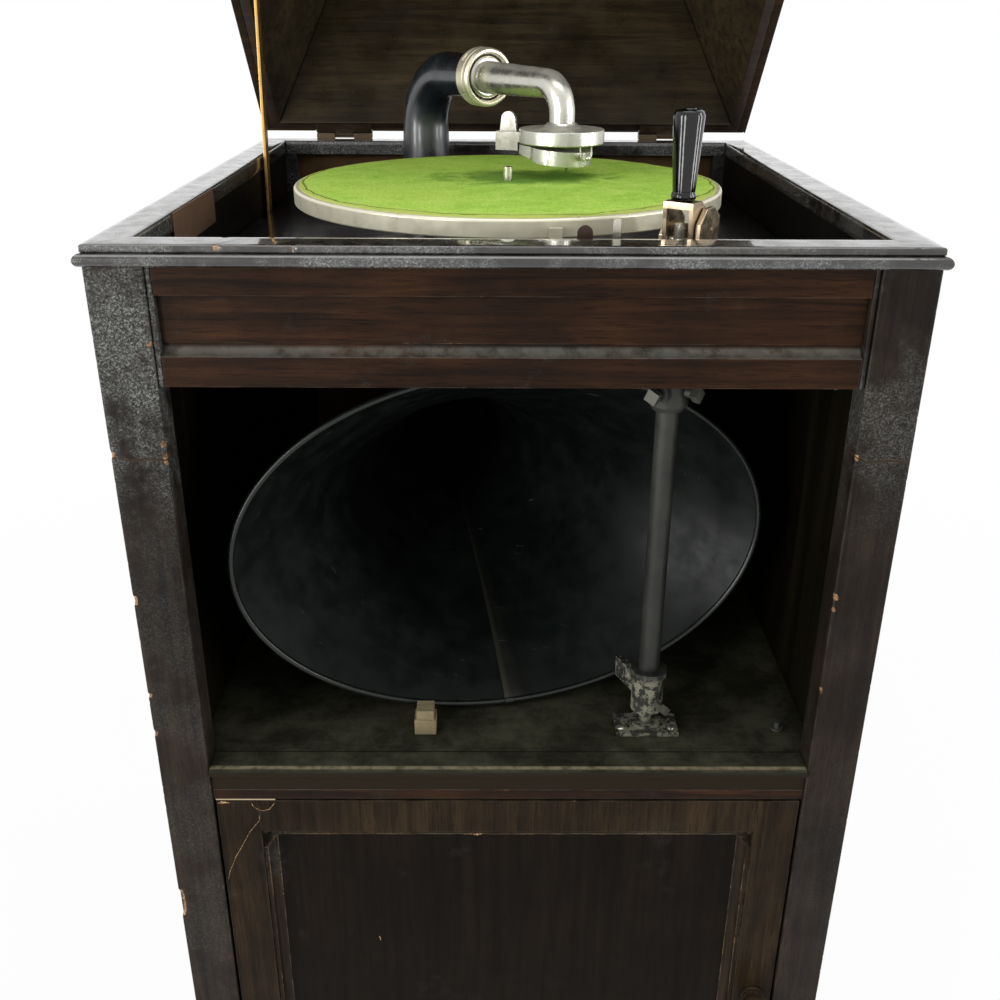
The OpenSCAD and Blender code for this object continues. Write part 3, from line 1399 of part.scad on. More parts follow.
panel_x = door_x1 - stile_w - 0.1;
panel_z0 = door_bottom_z + door_bottom_w + 0.1;
panel_z1 = door_top_z - door_top_w - 0.1;
module door_panel() {
    color(wood) block([-panel_x, door_front + 8, panel_z0],
        [panel_x, door_front + 8 + door_panel_t, panel_z1]);
}

module door_moulding() {
    w = panel_mould_w;
    color(wood) difference() {
        block([-panel_x, door_front + 1.5, panel_z0], [panel_x, door_front + 7.95, panel_z1]);
        block([-panel_x + w, door_front, panel_z0 + w], [panel_x - w, door_front + 9, panel_z1 - w]);
        for (s = [-1, 1]) {
            translate([s * (panel_x - w), door_front + 1.5, panel_z0 - 1])
                cylinder(r = 6, h = panel_z1 - panel_z0 + 2);
        }
        for (z = [panel_z0 + w, panel_z1 - w])
            translate([-panel_x - 1, door_front + 1.5, z]) rotate([0, 90, 0])
                cylinder(r = 6, h = 2 * panel_x + 2);
    }
}

module door_knob() {
    knob_z = (door_top_z + door_bottom_z) / 2 + 60;
    color([0.25, 0.14, 0.08]) translate([door_x1 - stile_w / 2, door_front, knob_z])
        rotate([90, 0, 0]) rotate_extrude() {
            square([knob_dia / 4, 12]);
            square([knob_dia / 3, 2]);
            intersection() {
                translate([0, 16]) circle(d = knob_dia);
                translate([0, 8]) square([knob_dia, 13]);
            }
        }
}

corner_posts();
side_panels();
side_rails();
back_panel();
base_board();
front_rails();
floor_glides();
top_frame();
apron_rails();
apron_panel();
post_beads();
bedplate();
bedplate_cleats();
horn_bay_floor();
grille_clips();
horn_rest_block();
pipe_flange();
record_rack();
wall_plate();
lift_bracket();
slot_plate();
motor_frame();
crank_escutcheon();
hinge_fixed_leaves();
hinge_pins();
stay_keeper();
turntable();
turntable_felt();
spindle();
idler_gear();
spring_barrel();
barrel_arbor();
winding_shaft();
governor();
lift_handle();
lift_yoke();
lift_post();
horn_pipe();
upper_clamp();
lower_clamp();
clamp_bolts();
horn_bell();
horn_neck();
neck_collar();
reproducer_arm();
sound_box();
reproducer_weight();
brake_lever();
speed_lever();
lid_rim();
lid_slopes();
lid_top();
lid_hinge_leaves();
stay_bracket();
lid_stay();
door_frame();
door_panel();
door_moulding();
door_knob();
door_pivots();
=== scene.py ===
"""Looks of a floor-standing gramophone cabinet with its lid open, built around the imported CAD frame."""

import json
from math import asin, cos, degrees, dist, hypot, pi, radians, sin

import bmesh
import bpy
from mathutils import Matrix, Vector, noise

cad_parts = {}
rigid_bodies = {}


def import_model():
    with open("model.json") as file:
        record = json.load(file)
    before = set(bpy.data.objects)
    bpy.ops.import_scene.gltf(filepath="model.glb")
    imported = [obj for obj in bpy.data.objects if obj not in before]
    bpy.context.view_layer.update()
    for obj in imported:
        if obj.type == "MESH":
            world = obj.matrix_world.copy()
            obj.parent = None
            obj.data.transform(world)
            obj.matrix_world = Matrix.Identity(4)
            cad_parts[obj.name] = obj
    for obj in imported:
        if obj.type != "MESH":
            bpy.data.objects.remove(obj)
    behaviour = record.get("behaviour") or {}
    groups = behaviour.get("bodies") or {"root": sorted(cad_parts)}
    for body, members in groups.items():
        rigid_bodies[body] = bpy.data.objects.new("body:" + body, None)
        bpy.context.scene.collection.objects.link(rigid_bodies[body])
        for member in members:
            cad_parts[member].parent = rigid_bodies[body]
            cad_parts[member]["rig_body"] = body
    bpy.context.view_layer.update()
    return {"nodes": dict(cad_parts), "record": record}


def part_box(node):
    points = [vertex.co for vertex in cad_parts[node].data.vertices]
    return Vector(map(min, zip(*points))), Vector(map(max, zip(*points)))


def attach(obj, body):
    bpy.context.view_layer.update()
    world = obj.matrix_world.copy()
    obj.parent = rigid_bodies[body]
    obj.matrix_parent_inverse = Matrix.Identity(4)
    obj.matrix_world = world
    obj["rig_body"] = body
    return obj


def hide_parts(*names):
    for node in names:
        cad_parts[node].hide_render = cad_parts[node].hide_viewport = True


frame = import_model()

MM = 0.001
nodes = frame["nodes"]


# ---------------------------------------------------------------- camera, light and floor

CAMERA_PLACE = Vector((-10.48, -844.67, 1066.34)) * MM
CAMERA_LENS = 38.84
CAMERA_PITCH, CAMERA_YAW, CAMERA_ROLL = (radians(a) for a in (24.498, 0.37, 0.313))


def make_camera():
    bpy.context.scene.view_settings.view_transform = "Standard"
    data = bpy.data.cameras.new("camera")
    data.lens, data.sensor_width = CAMERA_LENS, 36
    data.clip_start, data.clip_end = 0.01, 100
    camera = bpy.data.objects.new("camera", data)
    flat = cos(CAMERA_PITCH)
    ahead = Vector((sin(CAMERA_YAW) * flat, cos(CAMERA_YAW) * flat, -sin(CAMERA_PITCH)))
    right = Vector((cos(CAMERA_YAW), -sin(CAMERA_YAW), 0))
    up = right.cross(ahead)
    c, s = cos(CAMERA_ROLL), sin(CAMERA_ROLL)
    axes = Matrix((c * right + s * up, c * up - s * right, -ahead)).transposed().to_4x4()
    camera.matrix_world = Matrix.Translation(CAMERA_PLACE) @ axes
    bpy.context.scene.collection.objects.link(camera)
    bpy.context.scene.camera = camera


def make_lamp(name, place, aim, size, watts):
    data = bpy.data.lights.new(name, "AREA")
    data.shape, data.size, data.size_y, data.energy = "RECTANGLE", size[0], size[1], watts
    lamp = bpy.data.objects.new(name, data)
    lamp.location = place
    lamp.rotation_euler = (Vector(aim) - Vector(place)).to_track_quat("-Z", "Y").to_euler()
    bpy.context.scene.collection.objects.link(lamp)


# how strongly the white surroundings light the object; rays that see them find them at 1
AMBIENT = 0.36


def make_world():
    world = bpy.data.worlds.new("studio")
    bpy.context.scene.world = world
    world.use_nodes = True
    tree = world.node_tree
    ways = tree.nodes.new("ShaderNodeLightPath").outputs
    seen = ways["Is Camera Ray"]
    for way in ("Is Glossy Ray", "Is Transmission Ray"):
        either = tree.nodes.new("ShaderNodeMath")
        either.operation = "MAXIMUM"
        tree.links.new(seen, either.inputs[0])
        tree.links.new(ways[way], either.inputs[1])
        seen = either.outputs[0]
    level = tree.nodes.new("ShaderNodeMapRange")
    level.inputs["To Min"].default_value = AMBIENT
    tree.links.new(seen, level.inputs["Value"])
    back = tree.nodes["Background"]
    back.inputs["Color"].default_value = (1, 1, 1, 1)
    tree.links.new(level.outputs["Result"], back.inputs["Strength"])


def make_floor():
    """A pale floor that keeps the shadow near the cabinet and is pure white farther off."""
    mesh = bpy.data.meshes.new("floor")
    far = 40
    mesh.from_pydata([(-far, -far, 0), (far, -far, 0), (far, far, 0), (-far, far, 0)], [], [(0, 1, 2, 3)])
    floor = bpy.data.objects.new("floor", mesh)
    bpy.context.scene.collection.objects.link(floor)
    k = Kit("pale_floor")
    k.set(**{"Base Color": tone(254, 254, 253), "Roughness": 0.9})
    glow = k.node("ShaderNodeEmission", {"Color": (1, 1, 1, 1), "Strength": 1.0})
    ways = k.node("ShaderNodeLightPath").outputs
    white = k.span(k.vector("LENGTH", k.here), 500.0, 2600.0, 0.93, 1.0)
    share = k.times(k.math("MAXIMUM", ways["Is Camera Ray"], ways["Is Glossy Ray"]), white)
    mixed = k.node("ShaderNodeMixShader", {0: share, 1: k.bsdf.outputs[0], 2: glow.outputs[0]})
    k.tree.links.new(mixed.outputs[0], k.nodes["Material Output"].inputs["Surface"])
    mesh.materials.append(k.material)


# ---------------------------------------------------------------- materials

def tone(red, green, blue):
    """A colour as seen on a screen, 0 to 255, as the linear colour that the nodes take."""
    shares = (red / 255, green / 255, blue / 255)
    return tuple(v / 12.92 if v < 0.0404 else ((v + 0.055) / 1.055) ** 2.4 for v in shares) + (1,)


class Kit:
    """A material under construction. Its coordinates are millimetres in the frame at rest."""

    def __init__(self, name):
        self.material = bpy.data.materials.new(name)
        self.material.use_nodes = True
        self.tree = self.material.node_tree
        self.nodes = self.tree.nodes
        self.bsdf = self.nodes["Principled BSDF"]
        place = self.nodes.new("ShaderNodeTexCoord").outputs["Object"]
        self.here = self.vector("SCALE", place, scale=1 / MM)

    def set(self, **values):
        self.fill(self.bsdf, values)

    def fill(self, node, values):
        for key, value in values.items():
            if isinstance(value, bpy.types.NodeSocket):
                self.tree.links.new(value, node.inputs[key])
            else:
                node.inputs[key].default_value = value

    def node(self, kind, values=None, **settings):
        made = self.nodes.new(kind)
        for key, value in settings.items():
            setattr(made, key, value)
        self.fill(made, values or {})
        return made

    def math(self, what, a, b=0.0):
        """Arithmetic on shares: a sum or difference stays between 0 and 1."""
        clamped = what in ("ADD", "SUBTRACT")
        return self.node("ShaderNodeMath", {0: a, 1: b}, operation=what, use_clamp=clamped).outputs[0]

    def times(self, a, b):
        return self.math("MULTIPLY", a, b)

    def rest(self, share):
        return self.math("SUBTRACT", 1.0, share)

    def plain_math(self, what, a, b=0.0):
        return self.node("ShaderNodeMath", {0: a, 1: b}, operation=what).outputs[0]

    def apart(self, a, b):
        """The distance between two numbers."""
        return self.plain_math("ABSOLUTE", self.plain_math("SUBTRACT", a, b))

    def parts(self, vector):
        return self.node("ShaderNodeSeparateXYZ", {0: vector}).outputs

    def worn(self):
        """How worn the mesh says a point is, and on the horn's bell how strong its painted seam highlight is.
        """
        return self.node("ShaderNodeAttribute", attribute_name="worn").outputs["Fac"]

    def vector(self, what, a, b=None, scale=None):
        values = {0: a}
        if b is not None:
            values[1] = b
        if scale is not None:
            values["Scale"] = scale
        made = self.node("ShaderNodeVectorMath", values, operation=what)
        return made.outputs["Value"] if what in ("DOT_PRODUCT", "LENGTH") else made.outputs["Vector"]

    def noise(self, size, where=None, detail=4.0, rough=0.55, bend=0.0, colour=False):
        made = self.node("ShaderNodeTexNoise", {"Vector": where or self.here, "Scale": 1 / size,
                                               "Detail": detail, "Roughness": rough, "Distortion": bend})
        return made.outputs["Color" if colour else "Fac"]

    def shifted(self, size, amount, where=None):
        """The place moved about by up to amount, so that a pattern isn't regular."""
        drift = self.vector("SUBTRACT", self.noise(size, where, detail=2, colour=True), (0.5, 0.5, 0.5))
        return self.vector("ADD", where or self.here, self.vector("SCALE", drift, scale=2 * amount))

    def cracks(self, size, width, where):
        """1 on the lines between the cells of a cracked film."""
        values = {"Vector": where, "Scale": 1 / size}
        cells = self.node("ShaderNodeTexVoronoi", values, feature="DISTANCE_TO_EDGE")
        return self.span(cells.outputs["Distance"], width, 0.0)

    def span(self, value, low, high, to_low=0.0, to_high=1.0):
        """to_low where the value is low, to_high where it is high, and a soft step between."""
        values = {"Value": value, "From Min": low, "From Max": high, "To Min": to_low, "To Max": to_high}
        return self.node("ShaderNodeMapRange", values, interpolation_type="SMOOTHSTEP").outputs["Result"]

    def ramp(self, value, *stops):
        """Colours at their places along the value."""
        made = self.node("ShaderNodeValToRGB", {"Fac": value})
        bar = made.color_ramp.elements
        for i, (at, colour) in enumerate(stops):
            spot = bar[i] if i < len(bar) else bar.new(at)
            spot.position, spot.color = at, colour
        return made.outputs["Color"]

    def mix(self, share, a, b, how="MIX"):
        made = self.node("ShaderNodeMix", data_type="RGBA", blend_type=how)
        self.fill(made, {0: share, 6: a, 7: b})
        return made.outputs[2]

    def lay(self, colour, share, strength, over):
        """The colour with another laid over it."""
        return self.mix(self.times(share, strength), colour, over)

    def edges(self, radius):
        """1 on outer edges, 0 on flat ground."""
        soft = self.node("ShaderNodeBevel", {"Radius": radius * MM}, samples=2)
        true = self.node("ShaderNodeNewGeometry").outputs["True Normal"]
        turn = self.plain_math("SUBTRACT", 1.0, self.vector("DOT_PRODUCT", soft.outputs["Normal"], true))
        hollow = self.node("ShaderNodeAmbientOcclusion", {"Distance": 4 * radius * MM}, samples=2,
                           only_local=True)
        return self.times(self.span(turn, 0.01, 0.1), self.span(hollow.outputs["AO"], 0.55, 0.8))

    def corner_shade(self, reach):
        """How much shade is painted in: 1 in corners and crevices, 0 in the open."""
        dark = self.node("ShaderNodeAmbientOcclusion", {"Distance": reach * MM}, samples=3)
        return self.span(dark.outputs["AO"], 0.75, 0.3)

    def upward(self, start=0.55):
        """1 on faces that look up, from a face whose normal's height is start."""
        face = self.node("ShaderNodeNewGeometry").outputs["Normal"]
        return self.span(self.vector("DOT_PRODUCT", face, (0.0, 0.0, 1.0)), start, start + 0.4)

    def bump(self, *layers):
        """Each layer is (height socket, depth in mm, strength)."""
        last = None
        for height, depth, strength in layers:
            values = {"Height": height, "Distance": depth * MM, "Strength": strength}
            if last is not None:
                values["Normal"] = last
            last = self.node("ShaderNodeBump", values).outputs["Normal"]
        self.set(Normal=last)


# how a fine grit darkens a finish
TOOTH = ((0.3, tone(90, 90, 90)), (0.7, tone(255, 255, 255)))
# the lid at rest: how far it is open, its hinge's line in metres and its hollow's middle in millimetres
LID_TURN = radians(49)
HINGE_LINE = Vector((0, 0.267, 0.9536))
LID_MIDDLE = (0.0, 134.0, 1192.0)


def wood(name, grain, deep, warm, crackle, wear, dust, rough=0.42, shine=0.08, mitre=None, opened=False,
         black_above=None, joint_at=None, aged=None, dark_within=None, coat=0.0, up_from=0.55, uneven=1.0,
         dust_and_sheen_tone=tone(118, 114, 102)):
    """Old stained mahogany under a dark, crazed finish. grain is the fibres' axis, and mitre the half sizes
    of a frame. opened turns the pattern with the lid, whose outside is as dark as the cabinet's. joint_at is
    the height of a repaired break, aged gives the heights between which the crazing grows, and dark_within
    is how far from the middle the inner faces reach, which are coloured very dark and painted black above
    black_above. up_from is how level a face must be to take the dust, which on the rails, down to steep
    faces, is a painted highlight along the bead; uneven is how much the varnish waves and its gloss varies."""
    k = Kit(name)
    here = k.here
    if opened:
        values = {"Vector": here, "Center": HINGE_LINE / MM, "Angle": LID_TURN}
        here = k.node("ShaderNodeVectorRotate", values, rotation_type="X_AXIS").outputs[0]
    squeeze = [1.0, 1.0, 1.0]
    squeeze["xyz".index(grain)] = 0.05
    fibres = k.vector("MULTIPLY", here, tuple(squeeze))
    if mitre:
        out = k.parts(k.vector("ABSOLUTE", here))
        from_side = k.plain_math("SUBTRACT", mitre[0], out[0])
        from_end = k.plain_math("SUBTRACT", mitre[1], out[1])
        end_way = k.vector("MULTIPLY", here, (1.0, 0.05, 1.0))
        fibres = k.mix(k.plain_math("LESS_THAN", from_side, from_end), fibres, end_way)
    across, _, height = k.parts(k.here)
    figure = k.noise(7, fibres, detail=6, rough=0.62, bend=0.6)
    pores = k.span(k.noise(0.9, fibres, detail=2), 0.56, 0.66)
    clouds = k.noise(75, here, detail=3)
    colour = k.ramp(figure, (0.3, deep), (0.72, warm))
    if opened:
        face = k.node("ShaderNodeTexCoord").outputs["Normal"]
        outer = k.span(k.vector("DOT_PRODUCT", face, k.vector("SUBTRACT", k.here, LID_MIDDLE)), -6.0, 6.0)
        colour = k.mix(outer, colour, k.ramp(figure, (0.3, tone(26, 16, 10)), (0.72, tone(64, 43, 28))))
    colour = k.mix(k.span(clouds, 0.35, 0.7, 0.0, 0.6), colour, k.mix(0.6, deep, tone(14, 11, 9)))
    colour = k.lay(colour, pores, 0.55, tone(12, 8, 6))
    tooth = k.noise(0.8, k.shifted(3, 1.0, here), detail=4, rough=0.8)
    colour = k.mix(0.5, colour, k.ramp(tooth, *TOOTH), "MULTIPLY")
    wander = k.shifted(5, 1.6, here)
    film = k.cracks(3.4, 0.075, wander)
    crazed = k.span(k.noise(60, here, detail=4, rough=0.7), 0.62 - 0.3 * crackle, 0.8 - 0.3 * crackle)
    if aged:
        aging = k.times(k.span(height, aged[0], aged[1], 0.12, 1.0), k.span(across, 60.0, -60.0, 0.4, 1.0))
        crazed = k.times(crazed, aging)
    if coat:
        crazed = k.times(crazed, k.rest(k.times(k.upward(), 0.8)))
    bloom = k.ramp(k.noise(1.3, wander, detail=4, rough=0.8),
                   (0.36, tone(24, 23, 21)), (0.5, tone(84, 84, 80)), (0.64, tone(160, 163, 160)))
    colour = k.lay(colour, crazed, 0.8 * crackle, bloom)
    colour = k.lay(colour, k.times(film, crazed), 0.7, tone(10, 8, 6))
    edge = k.edges(1.2)
    ragged = k.noise(4, k.shifted(2, 1.5, here), detail=6, rough=0.75)
    region = k.span(k.noise(30, here, detail=4, rough=0.7), 0.68 - 0.12 * wear, 0.76 - 0.12 * wear)
    rubbed = k.times(k.times(edge, region), k.span(ragged, 0.58 - 0.08 * wear, 0.64 - 0.08 * wear))
    chipped = k.times(k.worn(), k.span(ragged, 0.3, 0.55, 0.5, 1.0))
    rubbed = k.math("MAXIMUM", rubbed, k.span(chipped, 0.4, 0.6))
    rub = k.ramp(k.noise(3, here, detail=3), (0.35, tone(84, 58, 38)), (0.62, tone(176, 138, 98)))
    colour = k.lay(colour, rubbed, 0.85, rub)
    # pale lines along the edges: worn finish, and also a painted highlight along the edges
    edge_wear_and_highlight = k.times(edge, k.span(k.noise(18, here, detail=5), 0.4, 0.62))
    colour = k.lay(colour, edge_wear_and_highlight, 0.4 * wear, tone(120, 106, 92))
    knocks = k.span(k.noise(9, k.shifted(4, 3, here), detail=5, rough=0.85), 0.745, 0.765)
    colour = k.lay(colour, knocks, 0.6 * wear, tone(128, 96, 66))
    lint = k.span(k.noise(1.5, k.shifted(2, 1.5, here), detail=3, rough=0.8), 0.755, 0.79)
    colour = k.lay(colour, lint, 0.5, tone(150, 146, 132))
    # painted shade: corners and crevices darkened near black
    colour = k.lay(colour, k.corner_shade(7), 0.6, tone(12, 9, 7))
    # dust on faces that look up; on the rails it reaches steep faces and is a painted highlight along the
    # bead
    drift = k.noise(14, here, detail=6, rough=0.7)
    dust_and_sheen = k.times(k.upward(up_from), k.span(drift, 0.35 - 0.2 * dust, 0.75 - 0.2 * dust))
    colour = k.lay(colour, dust_and_sheen, dust, dust_and_sheen_tone)
    patches = k.noise(28, here, detail=5, rough=0.65)
    gloss = k.span(patches, 0.3, 0.7, rough - 0.12 * uneven, rough + 0.16 * uneven)
    gloss = k.math("ADD", gloss, k.times(k.math("ADD", rubbed, dust_and_sheen), 0.25))
    if dark_within:
        inner = k.span(k.plain_math("ABSOLUTE", across), dark_within + 1.0, dark_within - 1.0)
        inner_dark = k.ramp(k.noise(16, fibres, detail=6),
                        (0.35, tone(9, 9, 5)), (0.62, tone(22, 19, 11)), (0.72, tone(46, 38, 22)))
        colour = k.lay(colour, inner, 0.95, inner_dark)
        painted = k.times(inner, k.span(k.plain_math("SUBTRACT", height, black_above), -1.0, 1.0))
        colour = k.lay(colour, painted, 0.93, tone(17, 16, 14))
    if joint_at:
        wobble = k.plain_math("ADD", height, k.span(k.noise(24, detail=3), 0.2, 0.8, -3.0, 3.0))
        near = k.apart(wobble, joint_at)
        colour = k.mix(k.span(near, 0.9, 0.2), colour, tone(70, 54, 38))
        colour = k.lay(colour, k.span(near, 0.45, 0.1), 0.8, tone(9, 7, 5))
    k.set(**{"Base Color": colour, "Roughness": gloss, "Specular IOR Level": shine, "Coat Weight": coat,
             "Coat Roughness": 0.05})
    sunk = k.rest(k.times(film, crazed))
    k.bump((k.noise(30, here, detail=3), 0.15 * uneven, 0.5), (pores, -0.05, 0.4), (tooth, 0.05, 0.5),
           (sunk, 0.12, 0.7), (k.rest(rubbed), 0.2, 0.8))
    return k.material


# where the bay floor's worn ridge and the groove behind it run, in y
SHELF_RIDGE, SHELF_GROOVE = -258.5, -241.0


def board(name, colour_a, colour_b, dirt_and_shade, dust, rough=0.7, fleck=0.3, shine=0.12, edge_tone=None):
    """Plain board or cork without a polish: soft streaks, grime, dust and painted shade in corners. edge_tone
    is the colour of the bay floor's front face, which is rubbed pale along its ridge and has a dark groove
    behind that."""
    k = Kit(name)
    streak = k.noise(5, k.vector("MULTIPLY", k.here, (0.12, 1.0, 0.12)), detail=6, rough=0.65)
    colour = k.ramp(streak, (0.3, colour_a), (0.7, colour_b))
    spots = k.span(k.noise(3, detail=6, rough=0.8), 0.6, 0.72)
    colour = k.lay(colour, spots, fleck, dirt_and_shade)
    drift = k.span(k.noise(45, detail=7, rough=0.72), 0.38, 0.68)
    colour = k.lay(colour, k.times(drift, k.upward()), dust, tone(92, 91, 74))
    grit = k.span(k.noise(1.4, k.shifted(2, 1.5), detail=4, rough=0.8), 0.62, 0.72)
    colour = k.lay(colour, k.times(grit, k.upward()), 0.5, tone(132, 130, 108))
    # painted shade: corners and crevices darkened with the same dark colour as the spots of grime
    colour = k.lay(colour, k.corner_shade(16), 0.7, dirt_and_shade)
    if edge_tone:
        front = k.parts(k.here)[1]
        ridge = k.span(k.apart(front, SHELF_RIDGE), 2.6, 0.8)
        ridge = k.times(ridge, k.span(k.noise(7, detail=5), 0.3, 0.6, 0.25, 0.8))
        colour = k.mix(ridge, colour, tone(146, 138, 112))
        groove = k.span(k.apart(front, SHELF_GROOVE), 0.8, 0.3)
        colour = k.lay(colour, groove, 0.8, tone(12, 12, 9))
        colour = k.mix(k.upward(0.1), edge_tone, colour)
    k.set(**{"Base Color": colour, "Roughness": rough, "Specular IOR Level": shine})
    k.bump((streak, 0.2, 0.5), (spots, -0.15, 0.6), (k.noise(0.8, detail=3), 0.06, 0.5))
    return k.material


def enamel(name, ground, rough, chips, scuff, shine, coat=0.0, under=tone(150, 148, 132), cloudy=1.0,
           specks=0.5, flaked_under=None, toothed=0.45):
    """Black japan or lacquer over metal: a deep even film with specks, scuffs and chips on its edges, painted
    shade in corners and a painted highlight along a seam. Below the height flaked_under much of it has come
    off."""
    k = Kit(name)
    cloud = k.noise(38, detail=5, rough=0.6)
    colour = k.mix(k.span(cloud, 0.35, 0.75, 0.0, cloudy), ground, tuple(2.1 * v for v in ground[:3]) + (1,))
    tooth = k.noise(0.9, k.shifted(2, 1.0), detail=4, rough=0.8)
    colour = k.mix(toothed, colour, k.ramp(tooth, *TOOTH), "MULTIPLY")
    # painted highlight along the horn's lapped seam, from the mesh's worn share
    seam = k.worn()
    colour = k.lay(colour, seam, 0.6, tone(66, 64, 54))
    scratch = k.noise(2.2, k.vector("MULTIPLY", k.shifted(40, 12), (0.06, 1.0, 0.3)), detail=4)
    marks = k.times(k.span(scratch, 0.68, 0.72), k.span(k.noise(26, detail=3), 0.5, 0.62))
    colour = k.lay(colour, marks, scuff, tone(92, 94, 86))
    ragged = k.noise(4, k.shifted(2, 1.4), detail=6, rough=0.75)
    bare = k.times(k.edges(1.0), k.span(ragged, 0.52, 0.6))
    low, high = 0.78 - 0.12 * chips, 0.80 - 0.12 * chips
    flakes = k.noise(8, k.shifted(3, 2), detail=5, rough=0.8)
    flaked = k.span(flakes, low, high)
    if flaked_under:
        height = k.parts(k.here)[2]
        beneath = k.span(height, flaked_under + 6.0, flaked_under - 6.0)
        flaked = k.math("MAXIMUM", flaked, k.times(k.span(flakes, 0.49, 0.52), beneath))
    gone = k.math("MAXIMUM", k.times(bare, chips), k.times(flaked, min(1.0, chips + 0.3)))
    colour = k.mix(gone, colour, k.mix(k.noise(2, detail=3), under, tone(84, 76, 62)))
    speck = k.span(k.noise(1.5, detail=3, rough=0.7), 0.73, 0.77)
    colour = k.lay(colour, speck, specks, tone(126, 128, 116))
    # painted shade: corners and crevices darkened near black
    colour = k.lay(colour, k.corner_shade(6), 0.5, tone(12, 12, 10))
    gloss = k.span(k.noise(18, detail=5), 0.3, 0.75, 0.8 * rough, 1.3 * rough)
    k.set(**{"Base Color": colour, "Roughness": k.math("ADD", gloss, k.times(gone, 0.3)),
             "Specular IOR Level": shine, "Coat Weight": coat, "Coat Roughness": 0.06})
    k.bump((k.noise(26, detail=2), 0.2, 0.3), (k.rest(gone), 0.12, 0.8), (tooth, 0.02 * toothed, 0.3))
    return k.material


def metal(name, bright, stain, rough, tarnish, brush=(1.0, 1.0, 0.05), full=0.9, dull_top=0.0, wavy=0.06,
          painted_shade_spot=None, faced=None):
    """Plated or bare metal with stains, brown specks, soft scratches along brush and painted shade in its
    corners.
    dull_top is how much a film of dust and tarnish dulls the faces that look up. painted_shade_spot is a
    place and a reach about it painted darker and less metallic as shade, and left of faced the metal has a
    pale facing."""
    k = Kit(name)
    blotch = k.noise(16, k.shifted(8, 4), detail=6, rough=0.6)
    patch = k.span(blotch, 0.66 - 0.22 * tarnish, 0.90 - 0.2 * tarnish)
    colour = k.mix(k.times(patch, 0.35 + 0.5 * tarnish), bright, stain)
    speck = k.span(k.noise(1.3, k.shifted(1, 0.8), detail=4, rough=0.6), 0.72 - 0.07 * tarnish, 0.78)
    speck = k.times(speck, k.span(k.noise(22, detail=3), 0.62 - 0.2 * tarnish, 0.7 - 0.1 * tarnish))
    colour = k.lay(colour, speck, 0.8 * tarnish, tone(86, 66, 42))
    # painted shade: corners darkened brown
    colour = k.lay(colour, k.corner_shade(5), 0.5, tone(30, 25, 18))
    line = k.noise(0.9, k.vector("MULTIPLY", k.here, brush), detail=3)
    gloss = k.span(k.noise(9, detail=5), 0.3, 0.75, rough - 0.07, rough + 0.12)
    gloss = k.math("ADD", gloss, k.times(k.math("MAXIMUM", patch, speck), 0.15))
    whole = k.math("SUBTRACT", full, k.times(speck, 0.5 * tarnish))
    if dull_top:
        film = k.times(k.upward(), k.span(blotch, 0.25, 0.6, 0.6, 1.0))
        film = k.times(film, dull_top)
        dull = k.ramp(blotch, (0.35, tone(84, 74, 58)), (0.65, tone(150, 144, 124)))
        colour = k.lay(colour, film, 0.6, dull)
        whole = k.math("SUBTRACT", whole, k.times(film, 0.75))
        gloss = k.math("ADD", gloss, k.times(film, 0.15))
    # painted shade: a darker, less metallic patch about a given point
    if painted_shade_spot:
        away, reach = k.vector("LENGTH", k.vector("SUBTRACT", k.here, painted_shade_spot[:3])), painted_shade_spot[3]
        near = k.span(away, reach, 0.35 * reach)
        colour = k.lay(colour, near, 0.75, tone(92, 88, 76))
        whole = k.math("SUBTRACT", whole, k.times(near, 0.3))
    if faced:
        facing = k.span(k.parts(k.here)[0], faced + 0.5, faced - 0.5)
        colour = k.lay(colour, facing, 0.9, tone(214, 208, 184))
        whole = k.math("SUBTRACT", whole, k.times(facing, 0.3))
    k.set(**{"Base Color": colour, "Roughness": gloss, "Metallic": whole})
    k.bump((k.noise(16, detail=2), wavy, 0.3), (line, 0.012, 0.3), (speck, -0.05, 0.6))
    return k.material


